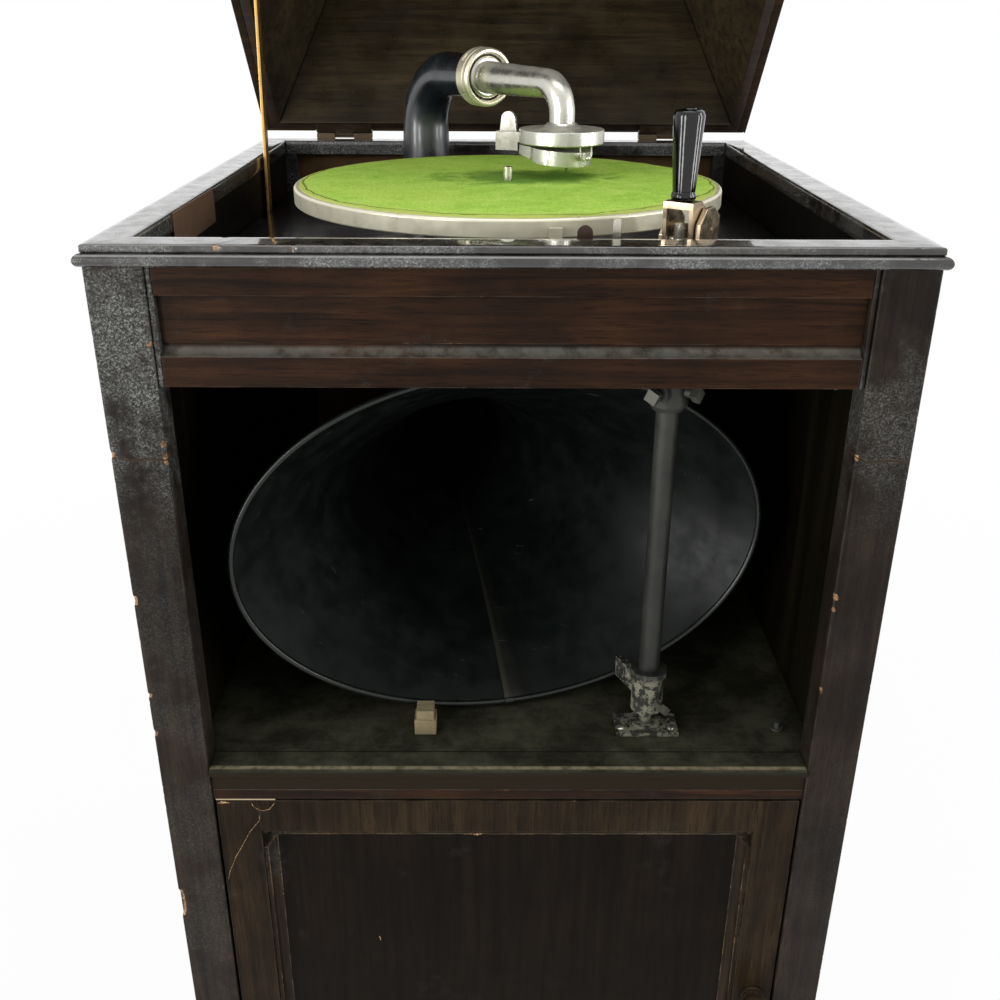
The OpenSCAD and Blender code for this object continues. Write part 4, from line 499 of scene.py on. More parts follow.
def felt_cloth(centre, reach):
    """Green felt with a matted pile, worn and dusty, with the arm's shadow painted darker about the spindle
    and a little behind it, and a dark line of painted shade near its yellowed edge."""
    k = Kit("felt")
    away = k.vector("SUBTRACT", k.here, centre)
    out = k.vector("LENGTH", away)
    pile = k.noise(0.9, k.shifted(3, 1.2), detail=6, rough=0.8)
    matted = k.noise(20, k.shifted(14, 9), detail=6, rough=0.66)
    broad = k.noise(70, detail=2)
    colour = k.ramp(matted,
                    (0.3, tone(174, 222, 86)), (0.52, tone(200, 242, 104)), (0.75, tone(222, 252, 130)))
    colour = k.mix(k.span(broad, 0.4, 0.7, 0.0, 0.35), colour, tone(228, 250, 118))
    colour = k.mix(k.span(pile, 0.36, 0.62, 0.65, 0.0), colour, tone(92, 134, 38))
    colour = k.mix(k.span(pile, 0.54, 0.7, 0.0, 0.5), colour, tone(232, 248, 170))
    # painted shadow of the arm: the felt is darkened about the spindle and in a patch a little behind it;
    # worn and rubbed below carry this painted shadow
    blurred = k.plain_math("ADD", out, k.span(matted, 0.2, 0.8, -16.0, 16.0))
    behind = k.vector("MULTIPLY", k.vector("SUBTRACT", away, (12.0, 16.0, 0.0)), (0.62, 1.0, 1.0))
    behind = k.vector("LENGTH", behind)
    shade = k.plain_math("ADD", behind, k.span(matted, 0.2, 0.8, -12.0, 12.0))
    worn = k.math("MAXIMUM", k.span(blurred, 34.0, 10.0), k.span(shade, 46.0, 20.0))
    rubbed = k.ramp(pile, (0.36, tone(72, 112, 44)), (0.66, tone(112, 158, 64)))
    colour = k.lay(colour, worn, 0.78, rubbed)
    wave = k.span(k.noise(30, detail=3), 0.2, 0.8, -2.2, 2.2)
    ring = k.plain_math("ADD", k.plain_math("SUBTRACT", out, reach - 4.6), wave)
    colour = k.lay(colour, k.span(ring, -8.0, 0.0), 0.45, tone(196, 214, 110))
    # painted shade: a dark wavy line near the felt's yellowed edge
    groove = k.span(k.plain_math("ABSOLUTE", ring), 1.1, 0.5)
    groove = k.times(groove, k.span(k.noise(9, detail=4), 0.25, 0.45))
    colour = k.lay(colour, groove, 0.75, tone(66, 84, 30))
    colour = k.lay(colour, k.span(ring, 0.9, 1.6), 0.6, tone(186, 190, 104))
    lint = k.span(k.noise(2.0, k.shifted(2, 2), detail=3, rough=0.8), 0.75, 0.78)
    colour = k.lay(colour, lint, 0.7, tone(224, 232, 200))
    k.set(**{"Base Color": colour, "Roughness": 0.95, "Specular IOR Level": 0.04})
    k.bump((matted, 0.5, 0.5), (pile, 0.3, 0.8), (k.noise(0.35, detail=2), 0.12, 0.6))
    return k.material


# ---------------------------------------------------------------- meshes

def ripple(*place):
    """Smooth noise, mostly between -1 and 1."""
    return noise.noise(Vector(place))


def shade(bm, limit):
    """Smooth shading, with edges sharper than limit degrees kept sharp."""
    for face in bm.faces:
        face.smooth = True
    for edge in bm.edges:
        edge.smooth = len(edge.link_faces) != 2 or edge.calc_face_angle() < radians(limit)


def dress(obj, body, slot, material, *stands_for):
    """Gives an object its material and body, and hides the CAD nodes that it stands for. slot is not used."""
    bpy.context.scene.collection.objects.link(obj)
    obj.data.materials.clear()
    obj.data.materials.append(material)
    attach(obj, body)
    if stands_for:
        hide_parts(*stands_for)
    return obj


class Heap:
    """Points and faces gathered for one piece, in millimetres, with how worn each point is; on the horn's
    bell that share is a painted highlight along its seam.
    """

    def __init__(self):
        self.points, self.faces, self.worn = [], [], []

    def add(self, points, faces, worn=None):
        first = len(self.points)
        self.points += [tuple(p) for p in points]
        self.faces += [tuple(first + i for i in face) for face in faces]
        self.worn += worn or [0.0] * len(points)

    def rings(self, rings, loop=False, worn=None):
        """Skin over rings of as many points each. A loop joins the last ring to the first, and without one
        the ends are closed."""
        n, count = len(rings[0]), len(rings)
        faces = []
        for i in range(count if loop else count - 1):
            for j in range(n):
                a, b, k = i * n, (i + 1) % count * n, (j + 1) % n
                faces.append((a + j, a + k, b + k, b + j))
        if not loop:
            faces.append(tuple(reversed(range(n))))
            faces.append(tuple((count - 1) * n + j for j in range(n)))
        self.add([p for ring in rings for p in ring], faces, worn)

    def lathe(self, profile, place, sides=64, bump=None):
        """A closed profile of (radius, height) turned about +Z of the matrix place. bump(angle, i) adds to
        the radius of point i."""
        rings = []
        for a in turns(sides):
            ring = []
            for i, (r, z) in enumerate(profile):
                r = max(0.0, r + (bump(a, i) if bump else 0))
                ring.append(place @ Vector((r * cos(a), r * sin(a), z)))
            rings.append(ring)
        self.rings(rings, loop=True)

    def screw(self, centre, way, radius, turn=0.6, rise=None):
        """A screw's head with its slot: a flat foot under two halves of a dome."""
        rise = rise or 0.4 * radius
        place = aimed(centre, way) @ Matrix.Rotation(turn, 4, "Z")
        self.lathe([(0.001, -0.5), (radius, -0.5), (radius, 0.0), (0.001, 0.02)], place, 24)
        for half in (0, 1):
            spun = place @ Matrix.Rotation(pi * half, 4, "Z")
            rings = []
            for share, z in ((1.0, -0.3), (1.0, 0.3 * rise), (0.82, 0.75 * rise), (0.5, rise)):
                start = asin(0.14 / share)
                r = share * radius
                arc = [start + (pi - 2 * start) * i / 12 for i in range(13)]
                rings.append([spun @ Vector((r * cos(a), r * sin(a), z)) for a in arc])
            self.rings(rings)

    def piece(self, name, body, slot, material, *stands_for, limit=40):
        mesh = bpy.data.meshes.new(name)
        mesh.from_pydata([tuple(Vector(p) * MM) for p in self.points], [], self.faces)
        bm = bmesh.new()
        bm.from_mesh(mesh)
        shade(bm, limit)
        bmesh.ops.recalc_face_normals(bm, faces=bm.faces)
        bm.to_mesh(mesh)
        bm.free()
        mesh.attributes.new("worn", "FLOAT", "POINT").data.foreach_set("value", self.worn)
        return dress(bpy.data.objects.new(name, mesh), body, slot, material, *stands_for)


def turns(count):
    """Angles of count even steps round a circle."""
    return [2 * pi * i / count for i in range(count)]


def aimed(centre, way):
    """The matrix that puts +Z along way, at centre."""
    return Matrix.Translation(Vector(centre)) @ Vector(way).to_track_quat("Z", "Y").to_matrix().to_4x4()


def knock(t, seed, depth):
    """How deep an old edge is knocked in, at a distance t along it."""
    big = max(0.0, ripple(t / 7, 7.3 * seed, 0.5) - 0.5) / 0.5
    small = max(0.0, ripple(t / 2.2, 3.1 * seed, 5.5) - 0.34)
    rare = max(0.0, ripple(t / 43, 1.7 * seed, 9.5) - 0.2)
    return depth * min(1.0, 5.0 * big * rare) + 0.5 * small * min(1.0, depth)


def guarded(section, wear):
    """The section with unworn points near the ends of its long sides, so that chips stay at the corners."""
    reach = 3.0
    points, shares = [], []
    for here, ahead, share in zip(section, section[1:] + section[:1], wear):
        points.append(here)
        shares.append(share)
        side = dist(here, ahead)
        if side > 3 * reach:
            for at in (reach / side, 1 - reach / side):
                points.append((here[0] + at * (ahead[0] - here[0]), here[1] + at * (ahead[1] - here[1])))
                shares.append((0.0, share[1]))
    return points, shares


BEAM_STEP = 1.6


def beam(heap, section, wear, place, span, seed, depth, chips=()):
    """A length of section along place's +Z. span(u, v) gives the two ends' heights there. wear is each
    point's share of the chips and the edge that it belongs to, and chips are known ones: edge, height, half
    length and depth."""
    middle = (sum(p[0] for p in section) / len(section), sum(p[1] for p in section) / len(section))
    section, wear = guarded(section, wear)
    longest = max(span(u, v)[1] - span(u, v)[0] for u, v in section)
    count = max(2, round(longest / BEAM_STEP))
    rings, worn = [], []
    for i in range(count + 1):
        ring = []
        for (u, v), (share, edge) in zip(section, wear):
            low, high = span(u, v)
            t = low + (high - low) * i / count
            inward = Vector((middle[0] - u, middle[1] - v, 0)).normalized()
            dent = share * knock(t, seed + 0.37 * edge, depth) if share else 0.0
            for where, at, half, deep in chips:
                if where == edge and abs(t - at) < half:
                    rough = 0.8 + 0.5 * ripple(t / 2, edge, 4)
                    dent = max(dent, share * deep * (1 - ((t - at) / half) ** 2) * rough)
            sway = 0.11 + 0.11 * ripple(t / 60, seed, edge)
            ring.append(place @ (Vector((u, v, t)) + inward * (dent + sway * min(1.0, share * 2))))
            worn.append(min(1.0, dent / 0.6))
        rings.append(ring)
    heap.rings(rings, worn=worn)


def rounded(low, high, radius):
    """Corner points of a rectangle with rounded corners, anticlockwise from the low corner."""
    steps = 3
    points = []
    for cx, cy, start in ((low[0] + radius, low[1] + radius, 180), (high[0] - radius, low[1] + radius, 270),
                          (high[0] - radius, high[1] - radius, 0), (low[0] + radius, high[1] - radius, 90)):
        for i in range(steps + 1):
            a = radians(start + 90 * i / steps)
            points.append((cx + radius * cos(a), cy + radius * sin(a)))
    return points


def eased(node, body, slot, material, width):
    """A copy of a CAD node with edges eased by width, which stands for it."""
    bm = bmesh.new()
    bm.from_mesh(nodes[node].data)
    bmesh.ops.remove_doubles(bm, verts=bm.verts, dist=3e-6)
    bmesh.ops.dissolve_limit(bm, angle_limit=radians(0.5), verts=bm.verts, edges=bm.edges)
    corners = [e for e in bm.edges if len(e.link_faces) == 2 and e.calc_face_angle() > radians(28)]
    if corners:
        bmesh.ops.bevel(bm, geom=corners, offset=width * MM, segments=2, profile=0.55, affect="EDGES",
                        clamp_overlap=True)
    for face in bm.faces:
        face.material_index = 0
    shade(bm, 50)
    mesh = bpy.data.meshes.new(node + "_eased")
    bm.to_mesh(mesh)
    bm.free()
    made = dress(bpy.data.objects.new(node + "_eased", mesh), body, slot, material, node)
    even = made.modifiers.new("even", "WEIGHTED_NORMAL")
    even.keep_sharp, even.weight = True, 100
    return made


# ---------------------------------------------------------------- the finishes in use

make_camera()
make_world()
for name, x, y, watts in (("left_window_near", -1.55, -2.35, 33), ("left_window_far", -2.45, -1.45, 37),
                          ("right_window_near", 2.45, -1.30, 27), ("right_window_far", 2.75, -0.15, 27)):
    make_lamp(name, (x, y, 1.15), (0, 0, 0.8), (0.45, 2.1), watts)
make_lamp("overhead", (0.0, -0.3, 3.4), (0, 0, 0.9), (2.4, 1.6), 32)
make_floor()

slot_of = {part["node"]: part["material_slot"] for part in frame["record"]["subparts"]}

REPAIR_Z = 827.0
BED_TOP = 904.0
posts_wood = wood("posts_wood", "z", tone(24, 20, 17), tone(58, 47, 38), crackle=0.8, wear=0.8, dust=0.1,
                  shine=0.1, joint_at=REPAIR_Z, aged=(770, 850))
frame_wood = wood("frame_wood", "x", tone(20, 17, 14), tone(44, 39, 33), crackle=0.85, wear=0.7, dust=0.05,
                  rough=0.2, shine=0.5, mitre=(234.0, 261.0), coat=1.0)
# on the rails the pale dust down to steep faces is a painted highlight along the bead
rail_wood = wood("rail_wood", "x", tone(22, 13, 8), tone(68, 43, 25), crackle=0.15, wear=0.7, dust=0.6,
                 up_from=0.15, dust_and_sheen_tone=tone(112, 110, 102))
side_wood = wood("side_wood", "z", tone(30, 19, 12), tone(66, 46, 30), crackle=0.05, wear=0.4, dust=0.1,
                 black_above=BED_TOP - 40, dark_within=215.0, uneven=0.3)
door_wood = wood("door_wood", "z", tone(26, 19, 12), tone(64, 50, 32), crackle=0.1, wear=0.7, dust=0.15,
                 shine=0.06)
panel_wood = wood("panel_wood", "z", tone(16, 12, 9), tone(32, 25, 18), crackle=0.1, wear=0.3, dust=0.1,
                  shine=0.04, uneven=0.3)
lid_wood = wood("lid_wood", "x", tone(38, 27, 8), tone(92, 67, 22), crackle=0.1, wear=0.4, dust=0.1,
                opened=True)
slope_wood = wood("slope_wood", "x", tone(36, 30, 18), tone(82, 70, 46), crackle=0.1, wear=0.2, dust=0.05,
                  rough=0.36, shine=0.25, opened=True)
plain = board("plain_board", tone(74, 54, 36), tone(104, 80, 54), tone(34, 26, 18), 0.2)
dusty = board("dusty_board", tone(28, 28, 21), tone(44, 43, 32), tone(16, 16, 11), 0.45, rough=0.8,
              fleck=0.5, shine=0.06, edge_tone=tone(34, 28, 20))
moulding_wood = wood("moulding_wood", "z", tone(26, 19, 12), tone(60, 46, 30), crackle=0.2, wear=1.6,
                     dust=0.2, shine=0.08)
cork = board("cork", tone(110, 100, 78), tone(152, 140, 108), tone(64, 54, 38), 0.2, rough=0.85, fleck=0.7)
black_board = enamel("black_board", tone(17, 16, 15), 0.2, 0.1, 0.4, shine=0.4, coat=0.2)
japan = enamel("black_japan", tone(9, 14, 11), 0.48, 0.2, 0.5, shine=0.22, cloudy=0.7, specks=0.35)
gloss = enamel("gloss_black", tone(6, 7, 8), 0.08, 0.05, 0.1, shine=0.3, coat=0.4, cloudy=0.2, specks=0.1,
               toothed=0.0)
satin = enamel("satin_black", tone(18, 24, 29), 0.32, 0.05, 0.4, shine=0.9, coat=0.3, cloudy=0.5, specks=0.7)
worn_japan = enamel("worn_japan", tone(40, 41, 37), 0.42, 0.5, 0.7, shine=0.25, under=tone(160, 160, 140),
                    flaked_under=645.0)
iron = metal("dull_iron", tone(78, 78, 70), tone(46, 44, 38), 0.45, tarnish=0.6, full=0.5)
leaf_iron = metal("leaf_iron", tone(96, 82, 64), tone(52, 42, 30), 0.42, tarnish=0.6, full=0.8)
nickel = metal("worn_nickel", tone(214, 210, 194), tone(150, 140, 116), 0.24, tarnish=0.5)
# the patch about the given point is painted shade on the sound box's tab
clean_nickel = metal("clean_nickel", tone(204, 202, 192), tone(146, 140, 124), 0.27, tarnish=0.2,
                     dull_top=0.8, wavy=0.02, painted_shade_spot=(-4.0, -12.0, 977.0, 26.0))
bronze = metal("dull_bronze", tone(184, 166, 140), tone(126, 106, 82), 0.28, tarnish=0.35)
brake_iron = metal("brake_iron", tone(80, 62, 54), tone(44, 34, 28), 0.4, tarnish=0.6, full=0.6)
brake_arm = metal("brake_arm", tone(80, 62, 54), tone(44, 34, 28), 0.4, tarnish=0.6, full=0.6, faced=33.0)
plate_copper = metal("plate_copper", tone(112, 86, 68), tone(70, 52, 40), 0.45, tarnish=0.7, full=0.25)
cream_nickel = metal("cream_nickel", tone(226, 219, 194), tone(178, 166, 134), 0.32, tarnish=0.35, full=0.65)
rim_plate = metal("rim_plate", tone(226, 221, 196), tone(176, 168, 132), 0.34, tarnish=0.45, full=0.35,
                  brush=(0.1, 0.1, 1.0))
bead_metal = metal("bead_metal", tone(40, 43, 40), tone(20, 22, 20), 0.26, tarnish=0.6, full=0.6)
brass = metal("brass", tone(190, 152, 88), tone(112, 82, 46), 0.32, tarnish=0.5)
steel = metal("steel", tone(150, 148, 144), tone(92, 84, 74), 0.34, tarnish=0.5)


def by_node(*groups):
    return {node: value for value, names in groups for node in names.split()}


# the finish of a node, or else that of its slot
LOOKS = by_node(
    (posts_wood, "post_beads"), (rail_wood, "side_rails front_rails apron_rails apron_panel"),
    (side_wood, "side_panels"), (door_wood, "door_frame door_knob"), (panel_wood, "door_panel"),
    (moulding_wood, "door_moulding"), (lid_wood, "lid_rim lid_top"), (slope_wood, "lid_slopes"),
    (worn_japan, "horn_pipe upper_clamp lower_clamp pipe_flange"), (rim_plate, "turntable"),
    (clean_nickel, "sound_box reproducer_weight"), (iron, "clamp_bolts grille_clips"),
    (leaf_iron, "hinge_fixed_leaves lid_hinge_leaves"), (brake_arm, "brake_lever"),
    (plate_copper, "wall_plate"))
BY_SLOT = {"dark_mahogany": door_wood, "mahogany": rail_wood, "plain_board": plain, "dusty_board": dusty,
           "cork": cork, "black_board": black_board, "black_japan": japan, "gloss_black": gloss,
           "worn_nickel": nickel, "dull_bronze": bronze, "brass": brass, "steel": steel}
# how far edges are eased in millimetres, and 0.35 for the others
WIDTHS = by_node(
    (1.0, "side_rails lid_top"), (0.9, "lid_rim door_frame"), (0.8, "front_rails"),
    (0.6, "lid_slopes base_board"), (0.5, "record_rack bedplate horn_bay_floor back_panel"),
    (0.2, "clamp_bolts sound_box reproducer_weight governor idler_gear spring_barrel hinge_pins"))
# nodes that a mesh of their own stands for
BUILT = {"turntable_felt", "horn_bell", "horn_neck", "corner_posts", "top_frame", "neck_collar",
         "reproducer_arm"}

for node in sorted(nodes):
    if node in BUILT:
        continue
    look = LOOKS.get(node) or BY_SLOT[slot_of[node]]
    eased(node, nodes[node]["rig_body"], slot_of[node], look, WIDTHS.get(node, 0.35))


# ---------------------------------------------------------------- felt

def make_felt():
    low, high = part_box("turntable_felt")
    reach = (high.x - low.x) / 2
    hole = 4.2
    centre = Vector(((low.x + high.x) / 2, (low.y + high.y) / 2, high.z)) / MM

    def ring(share, upper):
        made = []
        for a in turns(220):
            edge = reach / MM - 0.2 + min(0, 1.6 * (ripple(9 * cos(a), 9 * sin(a), 3) - 0.55))
            r = hole + (edge - hole) * share
            x, y = r * cos(a), r * sin(a)
            lift = 0.30 * (ripple(0.022 * x, 0.022 * y, 7) - 0.6)
            lift += 0.12 * (ripple(0.09 * x, 0.09 * y, 1) - 0.6)
            round_off = 0.5 * max(0, share - 0.985) / 0.015
            z = centre.z + min(0, lift) - round_off if upper else low.z / MM
            made.append((centre.x + x, centre.y + y, z))
        return made

    shares = [i / 44 for i in range(45)]
    heap = Heap()
    heap.rings([ring(s, True) for s in shares] + [ring(s, False) for s in reversed(shares)], loop=True)
    cloth = felt_cloth(centre, reach / MM)
    made = heap.piece("felt_disc", "platter", "felt", cloth, "turntable_felt", limit=60)


make_felt()


# ---------------------------------------------------------------- posts and top frame

# the cabinet's half sizes and height, the posts' section, the frame's width and thickness and its nosing's
# radius, and the glides' height
HALF_W, HALF_D, TOP = 234.0, 261.0, 950.0
POST_W, POST_D, FRAME_W, FRAME_T, NOSE = 33.0, 22.0, 23.0, 12.0, 3.7
GLIDE_H = 6.0
# the front posts' bigger chips: edge (0 outer front, 1 inner front), height, half length and depth
KNOWN_CHIPS = {0: ((0, 483.0, 13.0, 4.0), (0, 731.0, 4.0, 1.3), (0, 631.0, 3.0, 0.9), (1, 826.0, 6.0, 1.2)),
               1: ((1, 828.0, 4.0, 1.0), (1, 725.0, 5.0, 0.9), (1, 666.0, 6.0, 0.9))}


def make_posts():
    heap = Heap()
    section = rounded((0, 0), (POST_W, POST_D), 1.1)
    # the first corner points are the outer front edge, then inner front, inner back and outer back
    wear = [(1.0, 0)] * 4 + [(0.5, 1)] * 4 + [(0.2, 2)] * 4 + [(0.8, 3)] * 4
    for number, (side, front) in enumerate(((-1, 1), (1, 1), (-1, -1), (1, -1))):
        axes = Matrix(((-side, 0, 0, side * HALF_W), (0, front, 0, -front * HALF_D),
                       (0, 0, 1, 0), (0, 0, 0, 1)))
        beam(heap, section, wear, axes, lambda u, v: (GLIDE_H, TOP - FRAME_T), seed=number + 1, depth=2.6,
             chips=KNOWN_CHIPS.get(number, ()))
    heap.piece("worn_posts", "cabinet", "dark_mahogany", posts_wood, "corner_posts")


def make_top_frame():
    nosed = [(0.6, 0), (22.2, 0), (22.9, -0.7), (23, -3.6), (22.6, -4.1), (22.2, -4.3), (22.6, -4.5)]
    arc = [pi * i / 8 for i in range(9)]
    nosed += [(23 + NOSE * sin(a), -8.3 + NOSE * cos(a)) for a in arc]
    nosed += [(0.6, -FRAME_T), (0, -FRAME_T + 0.6), (0, -0.6)]
    shares = [0.2, 0.8, 0.9, 0.4, 0, 0, 0.1] + [0.2, 0.4, 0.6, 0.8, 1.0, 0.9, 0.7, 0.4, 0.1] + [0.1, 0.1, 0.2]
    wear = [(share, 1 if n < 5 else 2) for n, share in enumerate(shares)]
    plain_ends = [(0.6, 0), (22.2, 0), (23, -0.8), (23, -FRAME_T), (0, -FRAME_T), (0, -0.6)]
    plain_wear = [(share, 1) for share in (0.2, 0.8, 0.8, 0.1, 0.0, 0.2)]
    heap = Heap()
    in_x, in_y, gap = HALF_W - FRAME_W, HALF_D - FRAME_W, 0.21

    def wide(u, v):
        """The ends of the front and back lengths, mitred at both."""
        return -in_x - u + gap, in_x + u - gap

    def deep(u, v):
        """The ends of the side lengths, which stop at the back of the cabinet."""
        return -in_y - u + gap, min(in_y + u - gap, HALF_D)

    upright = (0, 1, 0, TOP)
    edges = ((nosed, wear, ((0, 0, 1, 0), (-1, 0, 0, -in_y), upright), wide),
             (plain_ends, plain_wear, ((0, 0, -1, 0), (1, 0, 0, in_y), upright), wide),
             (nosed, wear, ((1, 0, 0, in_x), (0, 0, 1, 0), upright), deep),
             (nosed, wear, ((-1, 0, 0, -in_x), (0, 0, 1, 0), upright), deep))
    for number, (section, share, rows, span) in enumerate(edges):
        beam(heap, section, share, Matrix(rows + ((0, 0, 0, 1),)), span, seed=number + 11, depth=1.5)
    heap.piece("worn_top_frame", "cabinet", "dark_mahogany", frame_wood, "top_frame", limit=50)


# ---------------------------------------------------------------- horn, neck and arm

MOUTH = Vector((-1.5, -187.0, 731.0))
YAW = radians(11.5)
BACK = Vector((-sin(YAW), cos(YAW), 0))
SIDE = Vector((cos(YAW), sin(YAW), 0))
UP = Vector((0, 0, 1))
# the mouth's half axes, the throat's radius, the flare's power, the straight run, the bend's radius and the
# sheet's thickness
MOUTH_A, MOUTH_B, THROAT, FLARE, RUN, BEND, SHEET = 184.0, 126.0, 24.0, 2.4, 229.0, 118.0, 1.6
HORN_END = RUN + BEND * pi / 2
# the rolled edge's radius
BEAD = 2.25


def elbow(s, start, run, bend, first, second):
    """The middle of a pipe and the way to its inside at a distance s from start: straight along first for
    run, round a quarter bend and on along second."""
    a = max(0.0, min(pi / 2, (s - run) / bend))
    past = max(0.0, s - run - bend * pi / 2)
    middle = start + (min(s, run) + bend * sin(a)) * first + (bend * (1 - cos(a)) + past) * second
    return middle, cos(a) * second - sin(a) * first


def horn_radius(s, mouth):
    return THROAT + (mouth - THROAT) * (1 - s / HORN_END) ** FLARE


def make_bell():
    # even steps round the mouth in degrees, and closer ones over the lapped seam at its bottom
    lap = [268.4, 269.6, 269.9, 270.0, 270.6, 271.6, 273.0, 275.0]
    angles = sorted([360 * i / 150 for i in range(150) if not 267.5 < 360 * i / 150 < 276] + lap)
    lap_start, lap_end = 269.95, 275

    def fold(t):
        """Height of the lapped seam along the bell's lowest line."""
        return 0.0 if t < lap_start or t > lap_end else 1.5 - 1.3 * (t - 270) / 5

    depths = [HORN_END * (i / 70) ** 1.15 for i in range(71)]
    heap = Heap()

    def ring(s, inner):
        middle, top = elbow(s, MOUTH, RUN, BEND, BACK, UP)
        made = []
        for t in angles:
            a = radians(t)
            if inner:
                less = SHEET + fold(t) * min(1.0, s / 4)
            else:
                less = 0.35 - 0.35 * ripple(2.2 * cos(a), 2.2 * sin(a), s / 70)
            made.append(middle + (horn_radius(s, MOUTH_A) - less) * cos(a) * SIDE
                        + (horn_radius(s, MOUTH_B) - less) * sin(a) * top)
        return made

    outer = [ring(s, False) for s in depths]
    inner = [ring(s, True) for s in reversed(depths)]
    # a painted highlight beside the lapped seam, strongest at the mouth, carried in the worn share of the
    # inner surface
    seam = [1.0 if lap_start <= t < 271.2 else (0.25 if 271.2 <= t < 274 else 0.0) for t in angles]
    worn = [0.0] * (len(outer) * len(angles))
    for s in reversed(depths):
        worn += [share * max(0.0, 1 - s / 210) for share in seam]
    heap.rings(outer + inner, loop=True, worn=worn)
    heap.piece("horn_shell", "horn_carriage", "black_japan", japan, "horn_bell", limit=38)

    bead = Heap()
    rings = []
    for a in turns(200):
        place = MOUTH + (MOUTH_A - 0.4) * cos(a) * SIDE + (MOUTH_B - 0.4) * sin(a) * UP
        out = (MOUTH_B * cos(a) * SIDE + MOUTH_A * sin(a) * UP).normalized()
        r = BEAD - 0.08 * (1 + ripple(place.x / 9, place.z / 9, 2))
        rings.append([place + r * cos(b) * out + r * sin(b) * BACK for b in turns(12)])
    bead.rings(rings, loop=True)
    bead.piece("horn_rolled_edge", "horn_carriage", "black_japan", bead_metal)

    clip = Heap()
    foot = MOUTH - (MOUTH_B - 0.4) * UP
    bends = [radians(-150 + 300 * j / 14) for j in range(15)]
    ways = [cos(b) * -UP + sin(b) * BACK for b in bends]
    inside = BEAD + 0.15
    rings = []
    for x, thick in ((-3.2, 0.35), (-3.0, 0.6), (3.0, 0.6), (3.2, 0.35)):
        middle = foot + (x + 2.5) * SIDE
        outside = [middle + (inside + thick) * way for way in ways]
        rings.append(outside + [middle + inside * way for way in reversed(ways)])
    clip.rings(rings)
    clip.piece("horn_edge_clip", "horn_carriage", "black_japan", bead_metal)


NECK = MOUTH + (RUN + BEND) * BACK + BEND * UP
BOX_UP = 37.5
BOX = Vector((38.0, -23.0, TOP + BOX_UP))
WAY = Vector((BOX.x - NECK.x, BOX.y - NECK.y, 0)).normalized()
REACH = hypot(BOX.x - NECK.x, BOX.y - NECK.y)
ACROSS = WAY.cross(UP)
# the outlet's height over the cabinet's top, the neck's bend, the arm's radius at either end and its bend
OUTLET, NECK_BEND, ARM_R, ARM_END_R, ARM_BEND = 67.0, 45.0, 12.5, 9.3, 20.0
# the collar's place from the neck's axis, its width and radius, and the outlet's radius
COLLAR_AT, COLLAR_W, COLLAR_R, OUTLET_R = 98.0, 18.0, 22.0, 15.5
LEVEL = Vector((NECK.x, NECK.y, TOP + OUTLET))


def make_neck():
    straight = TOP + OUTLET - NECK_BEND - NECK.z
    length = straight + NECK_BEND * pi / 2 + COLLAR_AT - COLLAR_W / 2 + 4 - NECK_BEND
    heap = Heap()

    def ring(s, less):
        middle, inside = elbow(s, NECK, straight, NECK_BEND, UP, WAY)
        r = THROAT - 0.3 - (THROAT - OUTLET_R) * (s / length) ** 1.15 - less
        return [middle + r * cos(b) * ACROSS - r * sin(b) * inside for b in turns(64)]

    steps = [0.05 + (length - 0.05) * i / 64 for i in range(65)]
    heap.rings([ring(s, 0.0) for s in steps] + [ring(s, 2.0) for s in reversed(steps)], loop=True)
    foot = Matrix.Translation(NECK + 0.05 * UP)
    heap.lathe([(THROAT - 1.5, 0), (THROAT + 2.4, 0), (THROAT + 3, 0.6), (THROAT + 3, 10), (THROAT + 2, 11.6),
                (THROAT - 0.2, 12), (THROAT - 1.5, 11.4)], foot, 72)
    heap.piece("horn_neck_tube", "horn_carriage", "gloss_black", satin, "horn_neck")


def make_collar():
    place = aimed(LEVEL + (COLLAR_AT - COLLAR_W / 2) * WAY, WAY)
    r, bore = COLLAR_R, ARM_R + 4.7
    profile = [(OUTLET_R + 1.3, 0.1), (r - 2.4, 0.1), (r - 1.0, 0.8), (r - 0.3, 2.0), (r, 3.2)]
    profile += [(r, 3.2 + 0.7 * i) for i in range(1, 12)]
    profile += [(r, 11.6), (r - 0.5, 12.1), (r - 1.3, 12.3), (r - 1.4, 12.9), (r - 0.5, 13.2),
                (r - 0.1, 14.2), (r - 0.4, 16.2), (r - 1.6, 17.6), (r - 2.6, 17.9), (bore + 1.6, 17.9),
                (bore + 1.2, 17.2), (bore + 0.5, 15.8), (bore, 15.4), (bore, 5), (OUTLET_R + 1.3, 5)]

    def slots(angle, i):
        """Three long slots round the collar, sunk into its side."""
        z = profile[i][1]
        if not 3 < z < 12 or profile[i][0] < r - 0.6:
            return 0.0
        off = abs((degrees(angle) + 60) % 120 - 60)
        ends = max(0.0, off - 24) * r * pi / 180
        inside = hypot(ends, z - 7.4)
        return -1.3 if inside < 1.15 else (-0.7 if inside < 1.6 else 0.0)

    heap = Heap()
    heap.lathe(profile, place, 288, slots)
    for k in range(3):
        a = radians(120 * k + 22)
        way = place.to_3x3() @ Vector((cos(a), sin(a), 0))
        head = place @ Vector(((r - 1.3) * cos(a), (r - 1.3) * sin(a), 7.4))
        heap.screw(head, way, 1.5, rise=0.9)
    heap.piece("neck_collar_ring", "horn_carriage", "worn_nickel", cream_nickel, "neck_collar", limit=32)


